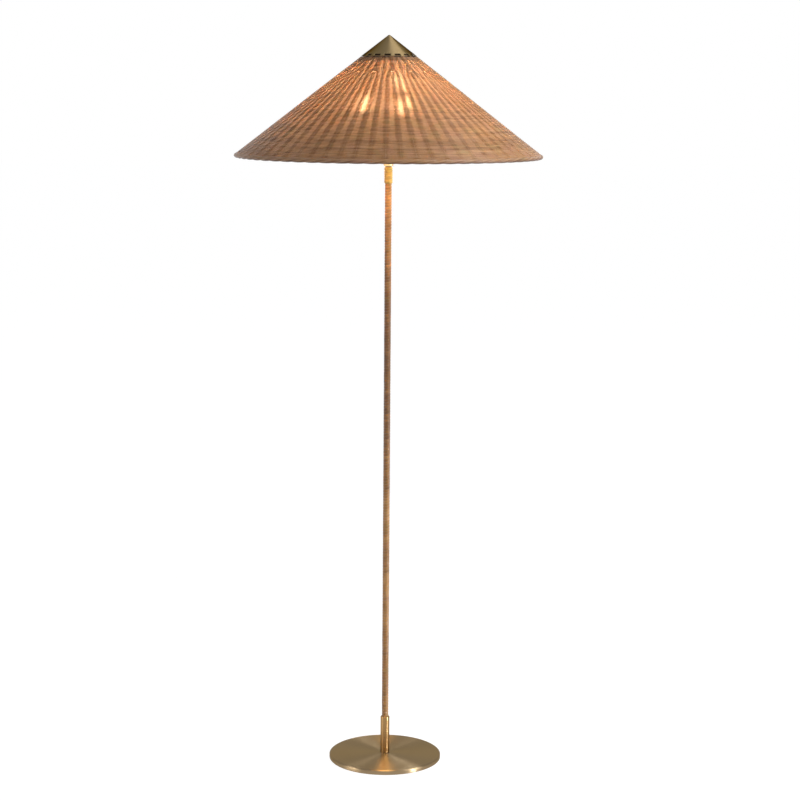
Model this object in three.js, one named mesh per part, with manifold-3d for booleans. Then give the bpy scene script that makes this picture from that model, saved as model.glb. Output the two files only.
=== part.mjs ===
// A floor lamp: a round brass foot, a slim stem wound with rattan, three upright lamp holders,
// and a wide cone of woven willow that sits on a carrier plate under a pierced brass cap.
// Millimetres, +Z up. The origin is the middle of the foot's underside; -Y is the front.

import * as THREE from "three";
import { mergeVertices } from "three/addons/utils/BufferGeometryUtils.js";
import Module from "manifold-3d";

const wasm = await Module();
wasm.setup();

// Whole lamp
const overallHeight = 1531; // floor to the tip of the cap
const shadeDiameter = 634; // across the woven border
const shadeSlope = THREE.MathUtils.degToRad(37.35); // of the cone, from the horizontal
const fit = 0.3; // clearance between pieces that touch
const overrun = 4; // how far a cutting tool runs past a face

// Foot
const footDiameter = 238;
const footThickness = 10.5;
const footEdgeRound = 2.4;
const footUnderBevel = 0.6;
const padThickness = 1;
const padInset = 7; // of the pad's edge from the foot's edge
const pocketClearance = 1.5; // round the washer under the foot
const washerRadius = 11;
const washerThickness = 1;

// M10 lamp thread and its flat nuts
const threadRadius = 5;
const nutAcrossFlats = 14;
const nutHeight = 3.8;
const studRise = 14; // of the stud above the foot

// Stem
const tubeWall = 1;
const wrapRadius = 7.2; // outside the rattan winding
const wrapTuck = 6; // of the winding's end into the collar
const collarRadius = 9.5;
const collarHeight = 80;
const collarRound = 1.3;
const seatWeb = 4; // of solid collar between the lead's bend and the tube
const neckRadius = 9.8;
const neckThickness = 3;

// Binding wound over the top of the rattan
const bindingLoops = 6;
const bindingPitch = 4.8;
const bindingWidth = 4.2;
const bindingThickness = 1.1;
const bindingInset = 2; // of its top turn from the winding's end
const bindingFlatShare = 0.72; // of its width that is flat

// Supply lead and the bush where it leaves the collar
const leadRadius = 2.5;
const outletRise = 22; // of the lead's outlet above the foot
const leadBendShare = 0.72; // the lead's bend, as a share of the collar's radius
const bushFlangeRadius = 5.2;
const bushFlange = 1.6;
const bushWall = 1.1;
const leadEndShare = 0.5; // of the flange that the lead's end reaches

// Hub of the three arms, with its lid and terminal block
const hubRadius = 18;
const hubWall = 1.8;
const hubFloor = 3;
const hubRound = 4;
const hubHeadroom = 3; // over the terminal block
const tubeProud = 1; // of the stem tube above its nut
const terminalRadius = 7;
const terminalHeight = 8;
const lidThickness = 2.5;
const spigotDepth = 2;
const spigotWall = 1.5;
const lidBossRadius = 8;
const lidBossHeight = 10;

// Arms
const armCount = 3;
const armTurn = THREE.MathUtils.degToRad(46.5); // of the first arm from +X
const armReach = 54.7; // from the lamp's axis to a holder's axis
const armRadius = 5;
const armWall = 1.3;
const armBend = 15; // radius of the bend's centre line
const armStub = 6; // straight end above the bend
const armTuck = 1; // of the inner end past the hub's wall
const armLeadRadius = 2.2;

// Lamp holders
const holderRadius = 19.5;
const holderWall = 1.2;
const bellTuck = 4; // of the arm's end in the bell
const bellNeckRadius = 8;
const bellNeckHeight = 5;
const bellFlare = 10; // height of the curved part
const shellHeight = 34;
const shellLip = 0.8;
const shellLipHeight = 2;
const insertFloor = 8;
const insertInset = 1; // of the insert's top below the shell's
const contactRadius = 4;
const contactThickness = 1.2;

// Bulbs, screwed in
const bulbScrewRadius = 13.2;
const bulbShoulderRadius = 12.3;
const bulbTipRadius = 4.5;
const bulbTipHeight = 2.5;
const bulbCapLength = 27;
const bulbCapConeHeight = 3;
const bulbCapCup = 6; // depth of the cup that the glass is cemented into
const bulbCapWall = 1.4;
const bulbRadius = 30;
const bulbLength = 107; // from the tip of the cap to the top of the glass
const bulbGlassWall = 1;
const bulbNeckLength = 12;
const bulbSwell = 1.6; // power of the curve from neck to globe
const filamentStalkRadius = 2;
const filamentFootRadius = 6;
const filamentFootHeight = 4;
const filamentRing = 8; // radius that the four filaments stand on
const filamentThickness = 1.1;
const filamentLength = 40;
const filamentPlate = 1;

// Rod, carrier plate and cap above the hub
const rodRadius = 4;
const rodLength = 233;
const seatNutRadius = 8;
const seatNutHeight = 7;
const seatNutBevel = 1;
const carrierThickness = 1.6;
const carrierSetIn = 4; // of its top corner below the weave's top edge
const carrierSkirt = 9;
const carrierVents = 6;
const carrierVentRadius = 5;
const carrierVentReachShare = 0.6; // of the way from the rod to the skirt
const capSlant = 71.6; // length of the cap's side
const capWall = 1.2;
const capTipRadius = 3.6;
const capSlots = 16;
const capSlotWidth = 13;
const capSlotHeight = 7.4; // along the slope
const capSlotLip = 1.4; // of brass left under a slot
const capSlotTurnShare = -0.15; // turn of the slots, as a share of their spacing
const capBossRadius = 7;
const capBossEnd = 3; // solid end of the boss over the rod

// Woven shade
const weaveGap = 0.4; // between the cap's edge and the weave, along the slope
const weaveThickness = 6;
const weaveRib = 1.5; // height of the ribs that the stakes raise
const stakeRadius = 1.3;
const stakeGroups = 16; // each of a pair, a stake added between the two, and a lone stake
const stakeTurn = THREE.MathUtils.degToRad(4.7); // of the first pair from +X
const pairCloseDown = 104; // down the slope, where the paired stakes start to part
const pairOpenDown = 132; // down the slope, where all stakes stand evenly
const pairDipShare = 0.35; // depth between two paired stakes, of a rib's height
const topRingWidth = 16; // along the slope, up behind the cap's slots
const topRingThickness = 1.2;
const topRingDeep = 3; // of the ring's outer face under the cone's
const borderRadius = 5.5;
const borderDeep = 6.2; // of the border's middle under the cone's outer face
const borderStrands = 4;
const borderGroove = 1.1; // between the border's twisted strands
const borderTwists = 16;
const borderTwistSteps = 8;

// Facets round a piece
const footFacets = 60;
const shadeFacets = 32;
const holderFacets = 20;
const bulbFacets = 16;
const smallFacets = 12;
const leadFacets = 6;
const bendSteps = 4;
const roundSteps = 3;

const fullTurn = 2 * Math.PI;
const quarterTurn = Math.PI / 2;
const sinSlope = Math.sin(shadeSlope);
const cosSlope = Math.cos(shadeSlope);

// Finishes
const finish = (color, roughness, metalness) => ({ color, roughness, metalness });
const brass = finish(0xa58a58, 0.34, 1);
const steel = finish(0x9b9c9e, 0.4, 1);
const rattan = finish(0xb07a48, 0.6, 0);
const willow = finish(0x9a6a45, 0.7, 0);
const felt = finish(0x2b2a29, 0.95, 0);
const insulation = finish(0x4a3322, 0.6, 0);
const porcelain = finish(0xeae6dc, 0.25, 0);
const nickel = finish(0xb9b6ae, 0.3, 1);
const glass = finish(0xf6efe0, 0.05, 0);
const glow = finish(0xffd9a0, 0.5, 0);
const darkPlastic = finish(0x241f1b, 0.55, 0);

const lamp = new THREE.Group();

// Names a solid, gives it a finish and puts it in the lamp or in a group of the lamp.
function add(name, geometry, look, parent = lamp) {
  const mesh = new THREE.Mesh(geometry, new THREE.MeshStandardMaterial(look));
  mesh.name = name;
  parent.add(mesh);
  return mesh;
}

const at = (radius, height) => new THREE.Vector2(radius, height);

// Points on an arc of the outline, the first and last included.
function arc(centre, radius, from, to, steps = roundSteps) {
  return Array.from({ length: steps + 1 }, (_, i) => {
    const angle = from + ((to - from) * i) / steps;
    return at(centre.x + radius * Math.cos(angle), centre.y + radius * Math.sin(angle));
  });
}

// A solid of revolution about Z. The outline runs anticlockwise with the axis at its left,
// and one that doesn't start and end on the axis is closed to a ring.
function turned(outline, facets) {
  const points = outline[0].x === 0 ? outline : [...outline, outline[0]];
  return new THREE.LatheGeometry(points, facets).rotateX(quarterTurn);
}

// A plain tube or ring between two heights.
function tube(outer, inner, bottom, top, facets) {
  return turned([at(inner, bottom), at(outer, bottom), at(outer, top), at(inner, top)], facets);
}

// A plain round bar between two heights.
function bar(radius, bottom, top, facets) {
  return turned([at(0, bottom), at(radius, bottom), at(radius, top), at(0, top)], facets);
}

// A curve that runs straight from each listed point to the next.
class Route extends THREE.Curve {
  constructor(points) {
    super();
    this.points = points;
  }

  getPointAt(share) {
    const place = share * (this.points.length - 1);
    const i = Math.min(Math.floor(place), this.points.length - 2);
    return this.points[i].clone().lerp(this.points[i + 1], place - i);
  }

  getTangentAt(share) {
    const i = Math.round(share * (this.points.length - 1));
    const before = this.points[Math.max(i - 1, 0)];
    const after = this.points[Math.min(i + 1, this.points.length - 1)];
    return after.clone().sub(before).normalize();
  }
}

// A round bar, or a tube with a bore, that follows a route.
function swept(points, radius, bore = 0, facets = leadFacets) {
  const section = new THREE.Shape().absarc(0, 0, radius, 0, fullTurn);
  if (bore > 0) section.holes.push(new THREE.Path().absarc(0, 0, bore, 0, fullTurn, true));
  return new THREE.ExtrudeGeometry(section, {
    steps: points.length - 1,
    curveSegments: facets / 2,
    extrudePath: new Route(points),
  });
}

function toSolid(geometry) {
  const bare = geometry.index ? geometry.toNonIndexed() : geometry.clone();
  bare.deleteAttribute("normal");
  bare.deleteAttribute("uv");
  const merged = mergeVertices(bare);
  return new wasm.Manifold(
    new wasm.Mesh({
      numProp: 3,
      vertProperties: merged.attributes.position.array,
      triVerts: new Uint32Array(merged.index.array),
    }),
  );
}

function toGeometry(solid) {
  const mesh = solid.getMesh();
  const positions = new THREE.BufferAttribute(new Float32Array(mesh.vertProperties), 3);
  const geometry = new THREE.BufferGeometry().setAttribute("position", positions);
  return geometry.setIndex(new THREE.BufferAttribute(new Uint32Array(mesh.triVerts), 1));
}

const cut = (geometry, ...tools) =>
  toGeometry(tools.reduce((solid, tool) => solid.subtract(toSolid(tool)), toSolid(geometry)));

const join = (...pieces) =>
  toGeometry(pieces.map(toSolid).reduce((solid, piece) => solid.add(piece)));

// A hexagon nut on the lamp's axis.
function nut(bottom, top, bore) {
  const corner = nutAcrossFlats / 2 / Math.cos(Math.PI / 6);
  const body = new THREE.CylinderGeometry(corner, corner, top - bottom, 6)
    .rotateX(quarterTurn)
    .translate(0, 0, (top + bottom) / 2);
  return cut(body, bar(bore, bottom - overrun, top + overrun, smallFacets));
}

// Rows of points, each closed on itself, joined into one skin. The last row meets the first.
function ringSkin(rows) {
  const width = rows[0].length;
  const positions = new Float32Array(rows.flat().flatMap((p) => [p.x, p.y, p.z]));
  const index = [];
  rows.forEach((_, i) => {
    const here = i * width;
    const next = ((i + 1) % rows.length) * width;
    for (let j = 0; j < width; j++) {
      const k = (j + 1) % width;
      index.push(here + j, here + k, next + k, here + j, next + k, next + j);
    }
  });
  const geometry = new THREE.BufferGeometry();
  geometry.setAttribute("position", new THREE.BufferAttribute(positions, 3));
  return geometry.setIndex(index);
}

// The cone of the shade and cap. A place on it is a length down the slope and a depth under
// the outer face, both from the sharp point where the outer faces would meet.
const apexHeight = overallHeight + capTipRadius * (1 / cosSlope - 1);
const onCone = (down, deep) =>
  at(down * cosSlope - deep * sinSlope, apexHeight - down * sinSlope - deep * cosSlope);
const coneDown = (radius, deep) => (radius + deep * sinSlope) / cosSlope;
const coneHeight = (radius, deep) => onCone(coneDown(radius, deep), deep).y;

// Levels of the shade's top, worked down from the cap
const weaveTopDown = capSlant + weaveGap;
const carrierDeep = weaveThickness + fit;
const carrierTop = onCone(weaveTopDown + carrierSetIn, carrierDeep).y;
const carrierBottom = carrierTop - carrierThickness;
const capBossTop = coneHeight(capBossRadius, capWall + fit);
const rodTop = capBossTop - capBossEnd - fit;
const rodBottom = rodTop - rodLength;

// Levels of the hub, worked down from the rod
const lidBottom = rodBottom + nutHeight + fit;
const hubTop = lidBottom - fit;
const terminalTop = rodBottom - hubHeadroom;
const terminalBottom = terminalTop - terminalHeight;
const leadTop = terminalBottom - fit;
const tubeTop = leadTop - fit;
const hubNutTop = tubeTop - tubeProud;
const hubFloorTop = hubNutTop - nutHeight - fit;
const hubBottom = hubFloorTop - hubFloor;
const neckTop = hubBottom - fit;
const neckBottom = neckTop - neckThickness;
const wrapTop = neckBottom - fit;

// Levels of the foot and the collar, worked up from the floor
const footBottom = padThickness;
const footTop = footBottom + footThickness;
const collarBottom = footTop + fit;
const collarTop = collarBottom + collarHeight;
const wrapBottom = collarTop - wrapTuck;
const outletLevel = footTop + outletRise;
const leadBend = leadBendShare * collarRadius;
const tubeBottom = outletLevel + leadBend + seatWeb;
const studTop = footTop + studRise;

function makeFoot() {
  const radius = footDiameter / 2;
  const pocketDepth = washerThickness + nutHeight + 3 * fit;
  const pocketTop = footBottom + pocketDepth;
  const pocketRadius = washerRadius + pocketClearance;
  const studHole = threadRadius + fit;
  const edge = at(radius - footEdgeRound, footTop - footEdgeRound);
  const plate = [
    at(pocketRadius, footBottom),
    at(radius - footUnderBevel, footBottom),
    at(radius, footBottom + footUnderBevel),
    ...arc(edge, footEdgeRound, 0, quarterTurn),
    at(studHole, footTop),
    at(studHole, pocketTop),
    at(pocketRadius, pocketTop),
  ];
  add("foot_plate", turned(plate, footFacets), brass);
  add("foot_pad", bar(radius - padInset, 0, padThickness - fit, footFacets), felt);

  const washerTop = pocketTop - fit;
  const washerBottom = washerTop - washerThickness;
  const nutTop = washerBottom - fit;
  add("foot_washer", tube(washerRadius, studHole, washerBottom, washerTop, holderFacets), steel);
  add("foot_nut", nut(nutTop - nutHeight, nutTop, studHole), steel);
  add("foot_stud", bar(threadRadius, nutTop - nutHeight, studTop, smallFacets), steel);
}

// The lead's centre line from the bush, round its bend and up the stem.
function leadRoute(outerEnd, top) {
  const bend = Array.from({ length: bendSteps + 1 }, (_, i) => {
    const angle = (quarterTurn * i) / bendSteps;
    const out = leadBend * (1 - Math.sin(angle));
    const up = leadBend * (1 - Math.cos(angle));
    return new THREE.Vector3(0, out, outletLevel + up);
  });
  return [
    new THREE.Vector3(0, outerEnd, outletLevel),
    ...bend,
    new THREE.Vector3(0, 0, top),
  ];
}

function makeStem() {
  const lip = at(collarRadius - collarRound, collarTop - collarRound);
  const studHole = threadRadius + fit;
  const leadHole = leadRadius + fit;
  const collarBody = turned(
    [
      at(0, collarBottom),
      at(collarRadius, collarBottom),
      ...arc(lip, collarRound, 0, quarterTurn),
      at(0, collarTop),
    ],
    holderFacets,
  );
  const flangeFace = collarRadius + fit;
  const shankRadius = leadHole + bushWall;
  const bushHole = new THREE.CylinderGeometry(
    shankRadius + fit,
    shankRadius + fit,
    flangeFace + overrun - leadBend + fit,
    smallFacets,
  ).translate(0, (flangeFace + overrun + leadBend - fit) / 2, outletLevel);
  const collar = cut(
    collarBody,
    bar(studHole, collarBottom - overrun, studTop + fit, smallFacets),
    bar(studHole, tubeBottom - fit, collarTop + overrun, smallFacets),
    bar(wrapRadius + fit, wrapBottom - fit, collarTop + overrun, holderFacets),
    swept(leadRoute(flangeFace, tubeBottom), leadHole, 0, smallFacets),
    bushHole,
  );
  add("stem_collar", collar, brass);

  const bush = turned(
    [
      at(leadHole, 0),
      at(bushFlangeRadius, 0),
      at(bushFlangeRadius, bushFlange),
      at(shankRadius, bushFlange),
      at(shankRadius, bushFlange + flangeFace - leadBend),
      at(leadHole, bushFlange + flangeFace - leadBend),
    ],
    smallFacets,
  );
  bush.rotateX(quarterTurn).translate(0, flangeFace + bushFlange, outletLevel);
  add("lead_bush", bush, darkPlastic);

  const tubeBore = threadRadius - tubeWall;
  add("stem_tube", tube(threadRadius, tubeBore, tubeBottom, tubeTop, smallFacets), steel);
  add("rattan_wrap", tube(wrapRadius, studHole, wrapBottom, wrapTop, holderFacets), rattan);
  add("neck_washer", tube(neckRadius, studHole, neckBottom, neckTop, holderFacets), brass);
  const leadEnd = flangeFace + bushFlange * leadEndShare;
  add("stem_lead", swept(leadRoute(leadEnd, leadTop), leadRadius), insulation);
}

// A flat strip of rattan wound over the top of the stem as one unbroken helix.
function makeBinding() {
  const stepsPerLoop = 24;
  const steps = bindingLoops * stepsPerLoop;
  const inner = wrapRadius + fit;
  const middle = inner + bindingThickness / 2;
  const outer = inner + bindingThickness;
  const edge = bindingWidth / 2;
  const flat = edge * bindingFlatShare;
  const section = [
    at(inner, -flat),
    at(middle, -edge),
    at(outer, -flat),
    at(outer, flat),
    at(middle, edge),
    at(inner, flat),
  ];
  const lowest = wrapTop - bindingInset - edge - bindingLoops * bindingPitch;
  const rows = Array.from({ length: steps + 1 }, (_, i) => {
    const turn = (fullTurn * i) / stepsPerLoop;
    const rise = lowest + (bindingPitch * i) / stepsPerLoop;
    return section.map(
      (p) => new THREE.Vector3(p.x * Math.cos(turn), p.x * Math.sin(turn), p.y + rise),
    );
  });
  const corners = section.length;
  const index = [];
  for (let i = 0; i < steps; i++) {
    for (let j = 0; j < corners; j++) {
      const k = (j + 1) % corners;
      const here = i * corners;
      const next = here + corners;
      index.push(here + j, next + j, next + k, here + j, next + k, here + k);
    }
  }
  for (let j = 1; j < corners - 1; j++) {
    const last = steps * corners;
    index.push(0, j, j + 1, last, last + j + 1, last + j);
  }
  const geometry = new THREE.BufferGeometry();
  const positions = new Float32Array(rows.flat().flatMap((p) => [p.x, p.y, p.z]));
  geometry.setAttribute("position", new THREE.BufferAttribute(positions, 3));
  add("top_binding", geometry.setIndex(index), rattan);

  const gaps = rows.slice(stepsPerLoop).map((row, i) =>
    Math.min(...row.flatMap((p) => rows[i].map((q) => p.distanceTo(q)))),
  );
  console.log(`top_binding's least gap to itself: ${Math.min(...gaps).toFixed(2)} mm`);
}

function makeHub() {
  const studHole = threadRadius + fit;
  const inside = hubRadius - hubWall;
  const corner = at(hubRadius - hubRound, hubBottom + hubRound);
  const cup = turned(
    [
      at(studHole, hubBottom),
      ...arc(corner, hubRound, -quarterTurn, 0),
      at(hubRadius, hubTop),
      at(inside, hubTop),
      at(inside, hubFloorTop),
      at(studHole, hubFloorTop),
    ],
    holderFacets,
  );
  const holes = branchTurns().map((turn) =>
    new THREE.CylinderGeometry(armRadius + fit, armRadius + fit, hubRadius, smallFacets)
      .rotateZ(quarterTurn)
      .translate(hubRadius, 0, armLevel)
      .rotateZ(turn),
  );
  add("arm_hub", cut(cup, ...holes), brass);
  add("hub_nut", nut(hubNutTop - nutHeight, hubNutTop, studHole), steel);
  const block = bar(terminalRadius, terminalBottom, terminalTop, smallFacets);
  add("terminal_block", block, porcelain);

  const rodHole = rodRadius + fit;
  const spigot = inside - fit;
  const lid = [
    at(rodHole, lidBottom),
    at(spigot - spigotWall, lidBottom),
    at(spigot - spigotWall, lidBottom - spigotDepth),
    at(spigot, lidBottom - spigotDepth),
    at(spigot, lidBottom),
    at(hubRadius, lidBottom),
    at(hubRadius, lidBottom + lidThickness),
    at(lidBossRadius, lidBottom + lidThickness),
    at(lidBossRadius, lidBottom + lidThickness + lidBossHeight),
    at(rodHole, lidBottom + lidThickness + lidBossHeight),
  ];
  add("hub_lid", turned(lid, holderFacets), brass);
  add("rod_nut", nut(rodBottom, rodBottom + nutHeight, rodHole), steel);
  add("shade_rod", bar(rodRadius, rodBottom, rodTop, smallFacets), brass);
}

const armLevel = terminalBottom + terminalHeight / 2;
const armTop = armLevel + armBend + armStub;
const bellBottom = armTop - bellTuck;
const bellTop = bellBottom + bellNeckHeight + bellFlare;
const shellBottom = bellTop + fit;
const shellTop = shellBottom + shellHeight;
const insertBottom = bellTop - holderWall;
const insertTop = shellTop - insertInset;
const contactBottom = insertBottom + insertFloor + fit;
const bulbBottom = contactBottom + contactThickness + fit;

const branchTurns = () =>
  Array.from({ length: armCount }, (_, i) => armTurn + (fullTurn * i) / armCount);

// An arm's centre line: out from the hub, round the bend and up. It lies in the XZ plane.
function armRoute(innerEnd, top) {
  const bendStart = armReach - armBend;
  const bend = Array.from({ length: bendSteps + 1 }, (_, i) => {
    const angle = (quarterTurn * i) / bendSteps;
    const out = bendStart + armBend * Math.sin(angle);
    return new THREE.Vector3(out, 0, armLevel + armBend * (1 - Math.cos(angle)));
  });
  return [
    new THREE.Vector3(innerEnd, 0, armLevel),
    ...bend,
    new THREE.Vector3(armReach, 0, top),
  ];
}

// The bell under a holder: a neck round the arm, then a curved flare out to the shell.
function bellOutline() {
  const neckTopLevel = bellBottom + bellNeckHeight;
  const flareWidth = holderRadius - bellNeckRadius;
  const flare = (inset) =>
    Array.from({ length: roundSteps + 1 }, (_, i) => {
      const angle = (quarterTurn * i) / roundSteps;
      const out = bellNeckRadius + (flareWidth - inset) * Math.sin(angle);
      return at(out, neckTopLevel + inset + (bellFlare - inset) * (1 - Math.cos(angle)));
    });
  return [
    at(armRadius + fit, bellBottom),
    at(bellNeckRadius, bellBottom),
    ...flare(0),
    ...flare(holderWall).reverse(),
    at(armRadius + fit, neckTopLevel + holderWall),
  ];
}

// The screw cap of a bulb: its contact tip, a cone out to the screw shell, and a cup for the glass.
function bulbCapOutline() {
  const cupBottom = bulbCapLength - bulbCapCup;
  const cup = bulbScrewRadius - bulbCapWall;
  return [
    at(0, 0),
    at(bulbTipRadius, 0),
    at(bulbTipRadius, bulbTipHeight),
    at(bulbShoulderRadius, bulbTipHeight + bulbCapConeHeight),
    at(bulbScrewRadius, bulbTipHeight + 2 * bulbCapConeHeight),
    at(bulbScrewRadius, bulbCapLength),
    at(cup, bulbCapLength),
    at(cup, cupBottom),
    at(0, cupBottom),
  ];
}

// The glass of a bulb: a straight neck, a swelling curve and a round top, open below.
function bulbGlassOutline() {
  const neck = bulbScrewRadius - bulbCapWall - fit;
  const neckBottom = bulbCapLength - bulbCapCup + fit;
  const swellBottom = neckBottom + bulbNeckLength;
  const globe = bulbLength - bulbRadius;
  const swellSteps = 4;
  const topSteps = 3;
  const wall = (inset) => [
    at(neck - inset, neckBottom),
    ...Array.from({ length: swellSteps + 1 }, (_, i) => {
      const share = i / swellSteps;
      const swell = Math.sin(quarterTurn * share) ** bulbSwell;
      const radius = neck + (bulbRadius - neck) * swell - inset;
      return at(radius, swellBottom + (globe - swellBottom) * share);
    }),
    ...arc(at(0, globe), bulbRadius - inset, 0, quarterTurn, topSteps).slice(1, -1),
    at(0, globe + bulbRadius - inset),
  ];
  return [...wall(bulbGlassWall).reverse(), ...wall(0)];
}

// Four upright filaments between two small plates on a stalk, as one piece.
function makeFilament() {
  const footBottomLevel = bulbCapLength - bulbCapCup + fit;
  const globe = bulbLength - bulbRadius;
  const lowPlate = globe - filamentLength / 2;
  const highPlate = globe + filamentLength / 2;
  const plateRadius = filamentRing + filamentThickness;
  const filamentFacets = 4;
  const plate = (bottom) => bar(plateRadius, bottom, bottom + filamentPlate, 2 * filamentFacets);
  const filaments = [0, 1, 2, 3].map((i) =>
    bar(filamentThickness, lowPlate, highPlate + filamentPlate, filamentFacets)
      .translate(filamentRing, 0, 0)
      .rotateZ(quarterTurn * i),
  );
  const foot = turned(
    [
      at(0, footBottomLevel),
      at(filamentFootRadius, footBottomLevel),
      at(filamentStalkRadius, footBottomLevel + filamentFootHeight),
      at(filamentStalkRadius, highPlate + filamentPlate),
      at(0, highPlate + filamentPlate),
    ],
    leadFacets,
  );
  return join(foot, plate(lowPlate), plate(highPlate), ...filaments);
}

function makeBranch(number, turn) {
  const branch = new THREE.Group();
  branch.rotation.z = turn;
  lamp.add(branch);
  const armStart = hubRadius - hubWall - armTuck;
  const armPath = armRoute(armStart, armTop);
  const armBore = armRadius - armWall;
  add(`lamp_arm_${number}`, swept(armPath, armRadius, armBore, smallFacets), brass, branch);
  const leadPath = armRoute(terminalRadius + fit, insertBottom - fit);
  add(`arm_lead_${number}`, swept(leadPath, armLeadRadius), insulation, branch);

  const holder = new THREE.Group();
  holder.position.x = armReach;
  branch.add(holder);
  add(`holder_bell_${number}`, turned(bellOutline(), holderFacets), brass, holder);
  const inside = holderRadius - holderWall;
  const shell = [
    at(inside, shellBottom),
    at(holderRadius, shellBottom),
    at(holderRadius, shellTop - shellLipHeight),
    at(holderRadius + shellLip, shellTop - shellLipHeight),
    at(holderRadius + shellLip, shellTop),
    at(inside, shellTop),
  ];
  add(`holder_shell_${number}`, turned(shell, holderFacets), brass, holder);
  const socket = bulbScrewRadius + fit;
  const socketFloor = insertBottom + insertFloor;
  const insert = [
    at(0, insertBottom),
    at(inside - 2 * holderWall, insertBottom),
    at(inside - fit, shellBottom),
    at(inside - fit, insertTop),
    at(socket, insertTop),
    at(socket, socketFloor),
    at(0, socketFloor),
  ];
  add(`holder_insert_${number}`, turned(insert, holderFacets), porcelain, holder);
  const contactTop = contactBottom + contactThickness;
  const contact = bar(contactRadius, contactBottom, contactTop, leadFacets);
  add(`centre_contact_${number}`, contact, nickel, holder);

  const bulb = new THREE.Group();
  bulb.position.z = bulbBottom;
  holder.add(bulb);
  add(`bulb_cap_${number}`, turned(bulbCapOutline(), bulbFacets), nickel, bulb);
  add(`bulb_glass_${number}`, turned(bulbGlassOutline(), bulbFacets), glass, bulb);
  add(`bulb_filament_${number}`, makeFilament(), glow, bulb);
}

// The nut on the rod that the carrier plate rests on, and the plate itself.
function makeCarrier() {
  const rodHole = rodRadius + fit;
  const nutTop = carrierBottom - fit;
  const nutBottom = nutTop - seatNutHeight;
  const seatNut = [
    at(rodHole, nutBottom),
    at(seatNutRadius - seatNutBevel, nutBottom),
    at(seatNutRadius, nutBottom + seatNutBevel),
    at(seatNutRadius, nutTop - seatNutBevel),
    at(seatNutRadius - seatNutBevel, nutTop),
    at(rodHole, nutTop),
  ];
  add("seat_nut", turned(seatNut, smallFacets), brass);

  const underDeep = carrierDeep + carrierThickness;
  const topDown = weaveTopDown + carrierSetIn;
  const underDown = (apexHeight - carrierBottom - underDeep * cosSlope) / sinSlope;
  const skirtEnd = topDown + carrierSkirt;
  const plate = turned(
    [
      at(rodHole, carrierBottom),
      onCone(underDown, underDeep),
      onCone(skirtEnd, underDeep),
      onCone(skirtEnd, carrierDeep),
      onCone(topDown, carrierDeep),
      at(rodHole, carrierTop),
    ],
    shadeFacets,
  );
  const ventReach = rodHole + (onCone(underDown, underDeep).x - rodHole) * carrierVentReachShare;
  const vents = Array.from({ length: carrierVents }, (_, i) =>
    bar(carrierVentRadius, carrierBottom - overrun, carrierTop + overrun, smallFacets)
      .translate(ventReach, 0, 0)
      .rotateZ((fullTurn * i) / carrierVents),
  );
  add("carrier_plate", cut(plate, ...vents), brass);
}

// The spun cap: a thin cone with a rounded tip and a row of slots above its lower edge.
function makeCap() {
  const tipCentre = at(0, overallHeight - capTipRadius);
  const tip = arc(tipCentre, capTipRadius, quarterTurn - shadeSlope, quarterTurn);
  const cone = turned(
    [
      at(0, apexHeight - capWall / cosSlope),
      onCone(capSlant, capWall),
      onCone(capSlant, 0),
      ...tip.slice(0, -1),
      at(0, overallHeight),
    ],
    shadeFacets,
  );
  const slotMiddle = onCone(capSlant - capSlotLip - capSlotHeight / 2, capWall / 2);
  const slots = Array.from({ length: capSlots }, (_, i) =>
    new THREE.BoxGeometry(capSlotHeight, capSlotWidth, capWall + 2 * overrun)
      .rotateY(shadeSlope)
      .translate(slotMiddle.x, 0, slotMiddle.y)
      .rotateZ((fullTurn * (i + capSlotTurnShare)) / capSlots - quarterTurn),
  );
  add("cap_cone", cut(cone, ...slots), brass);

  const rodHole = rodRadius + fit;
  const boss = [
    at(0, rodTop + fit),
    at(rodHole, rodTop + fit),
    at(rodHole, carrierTop + fit),
    at(capBossRadius, carrierTop + fit),
    at(capBossRadius, capBossTop),
    at(0, capBossTop),
  ];
  add("cap_boss", turned(boss, smallFacets), brass);
}

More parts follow.
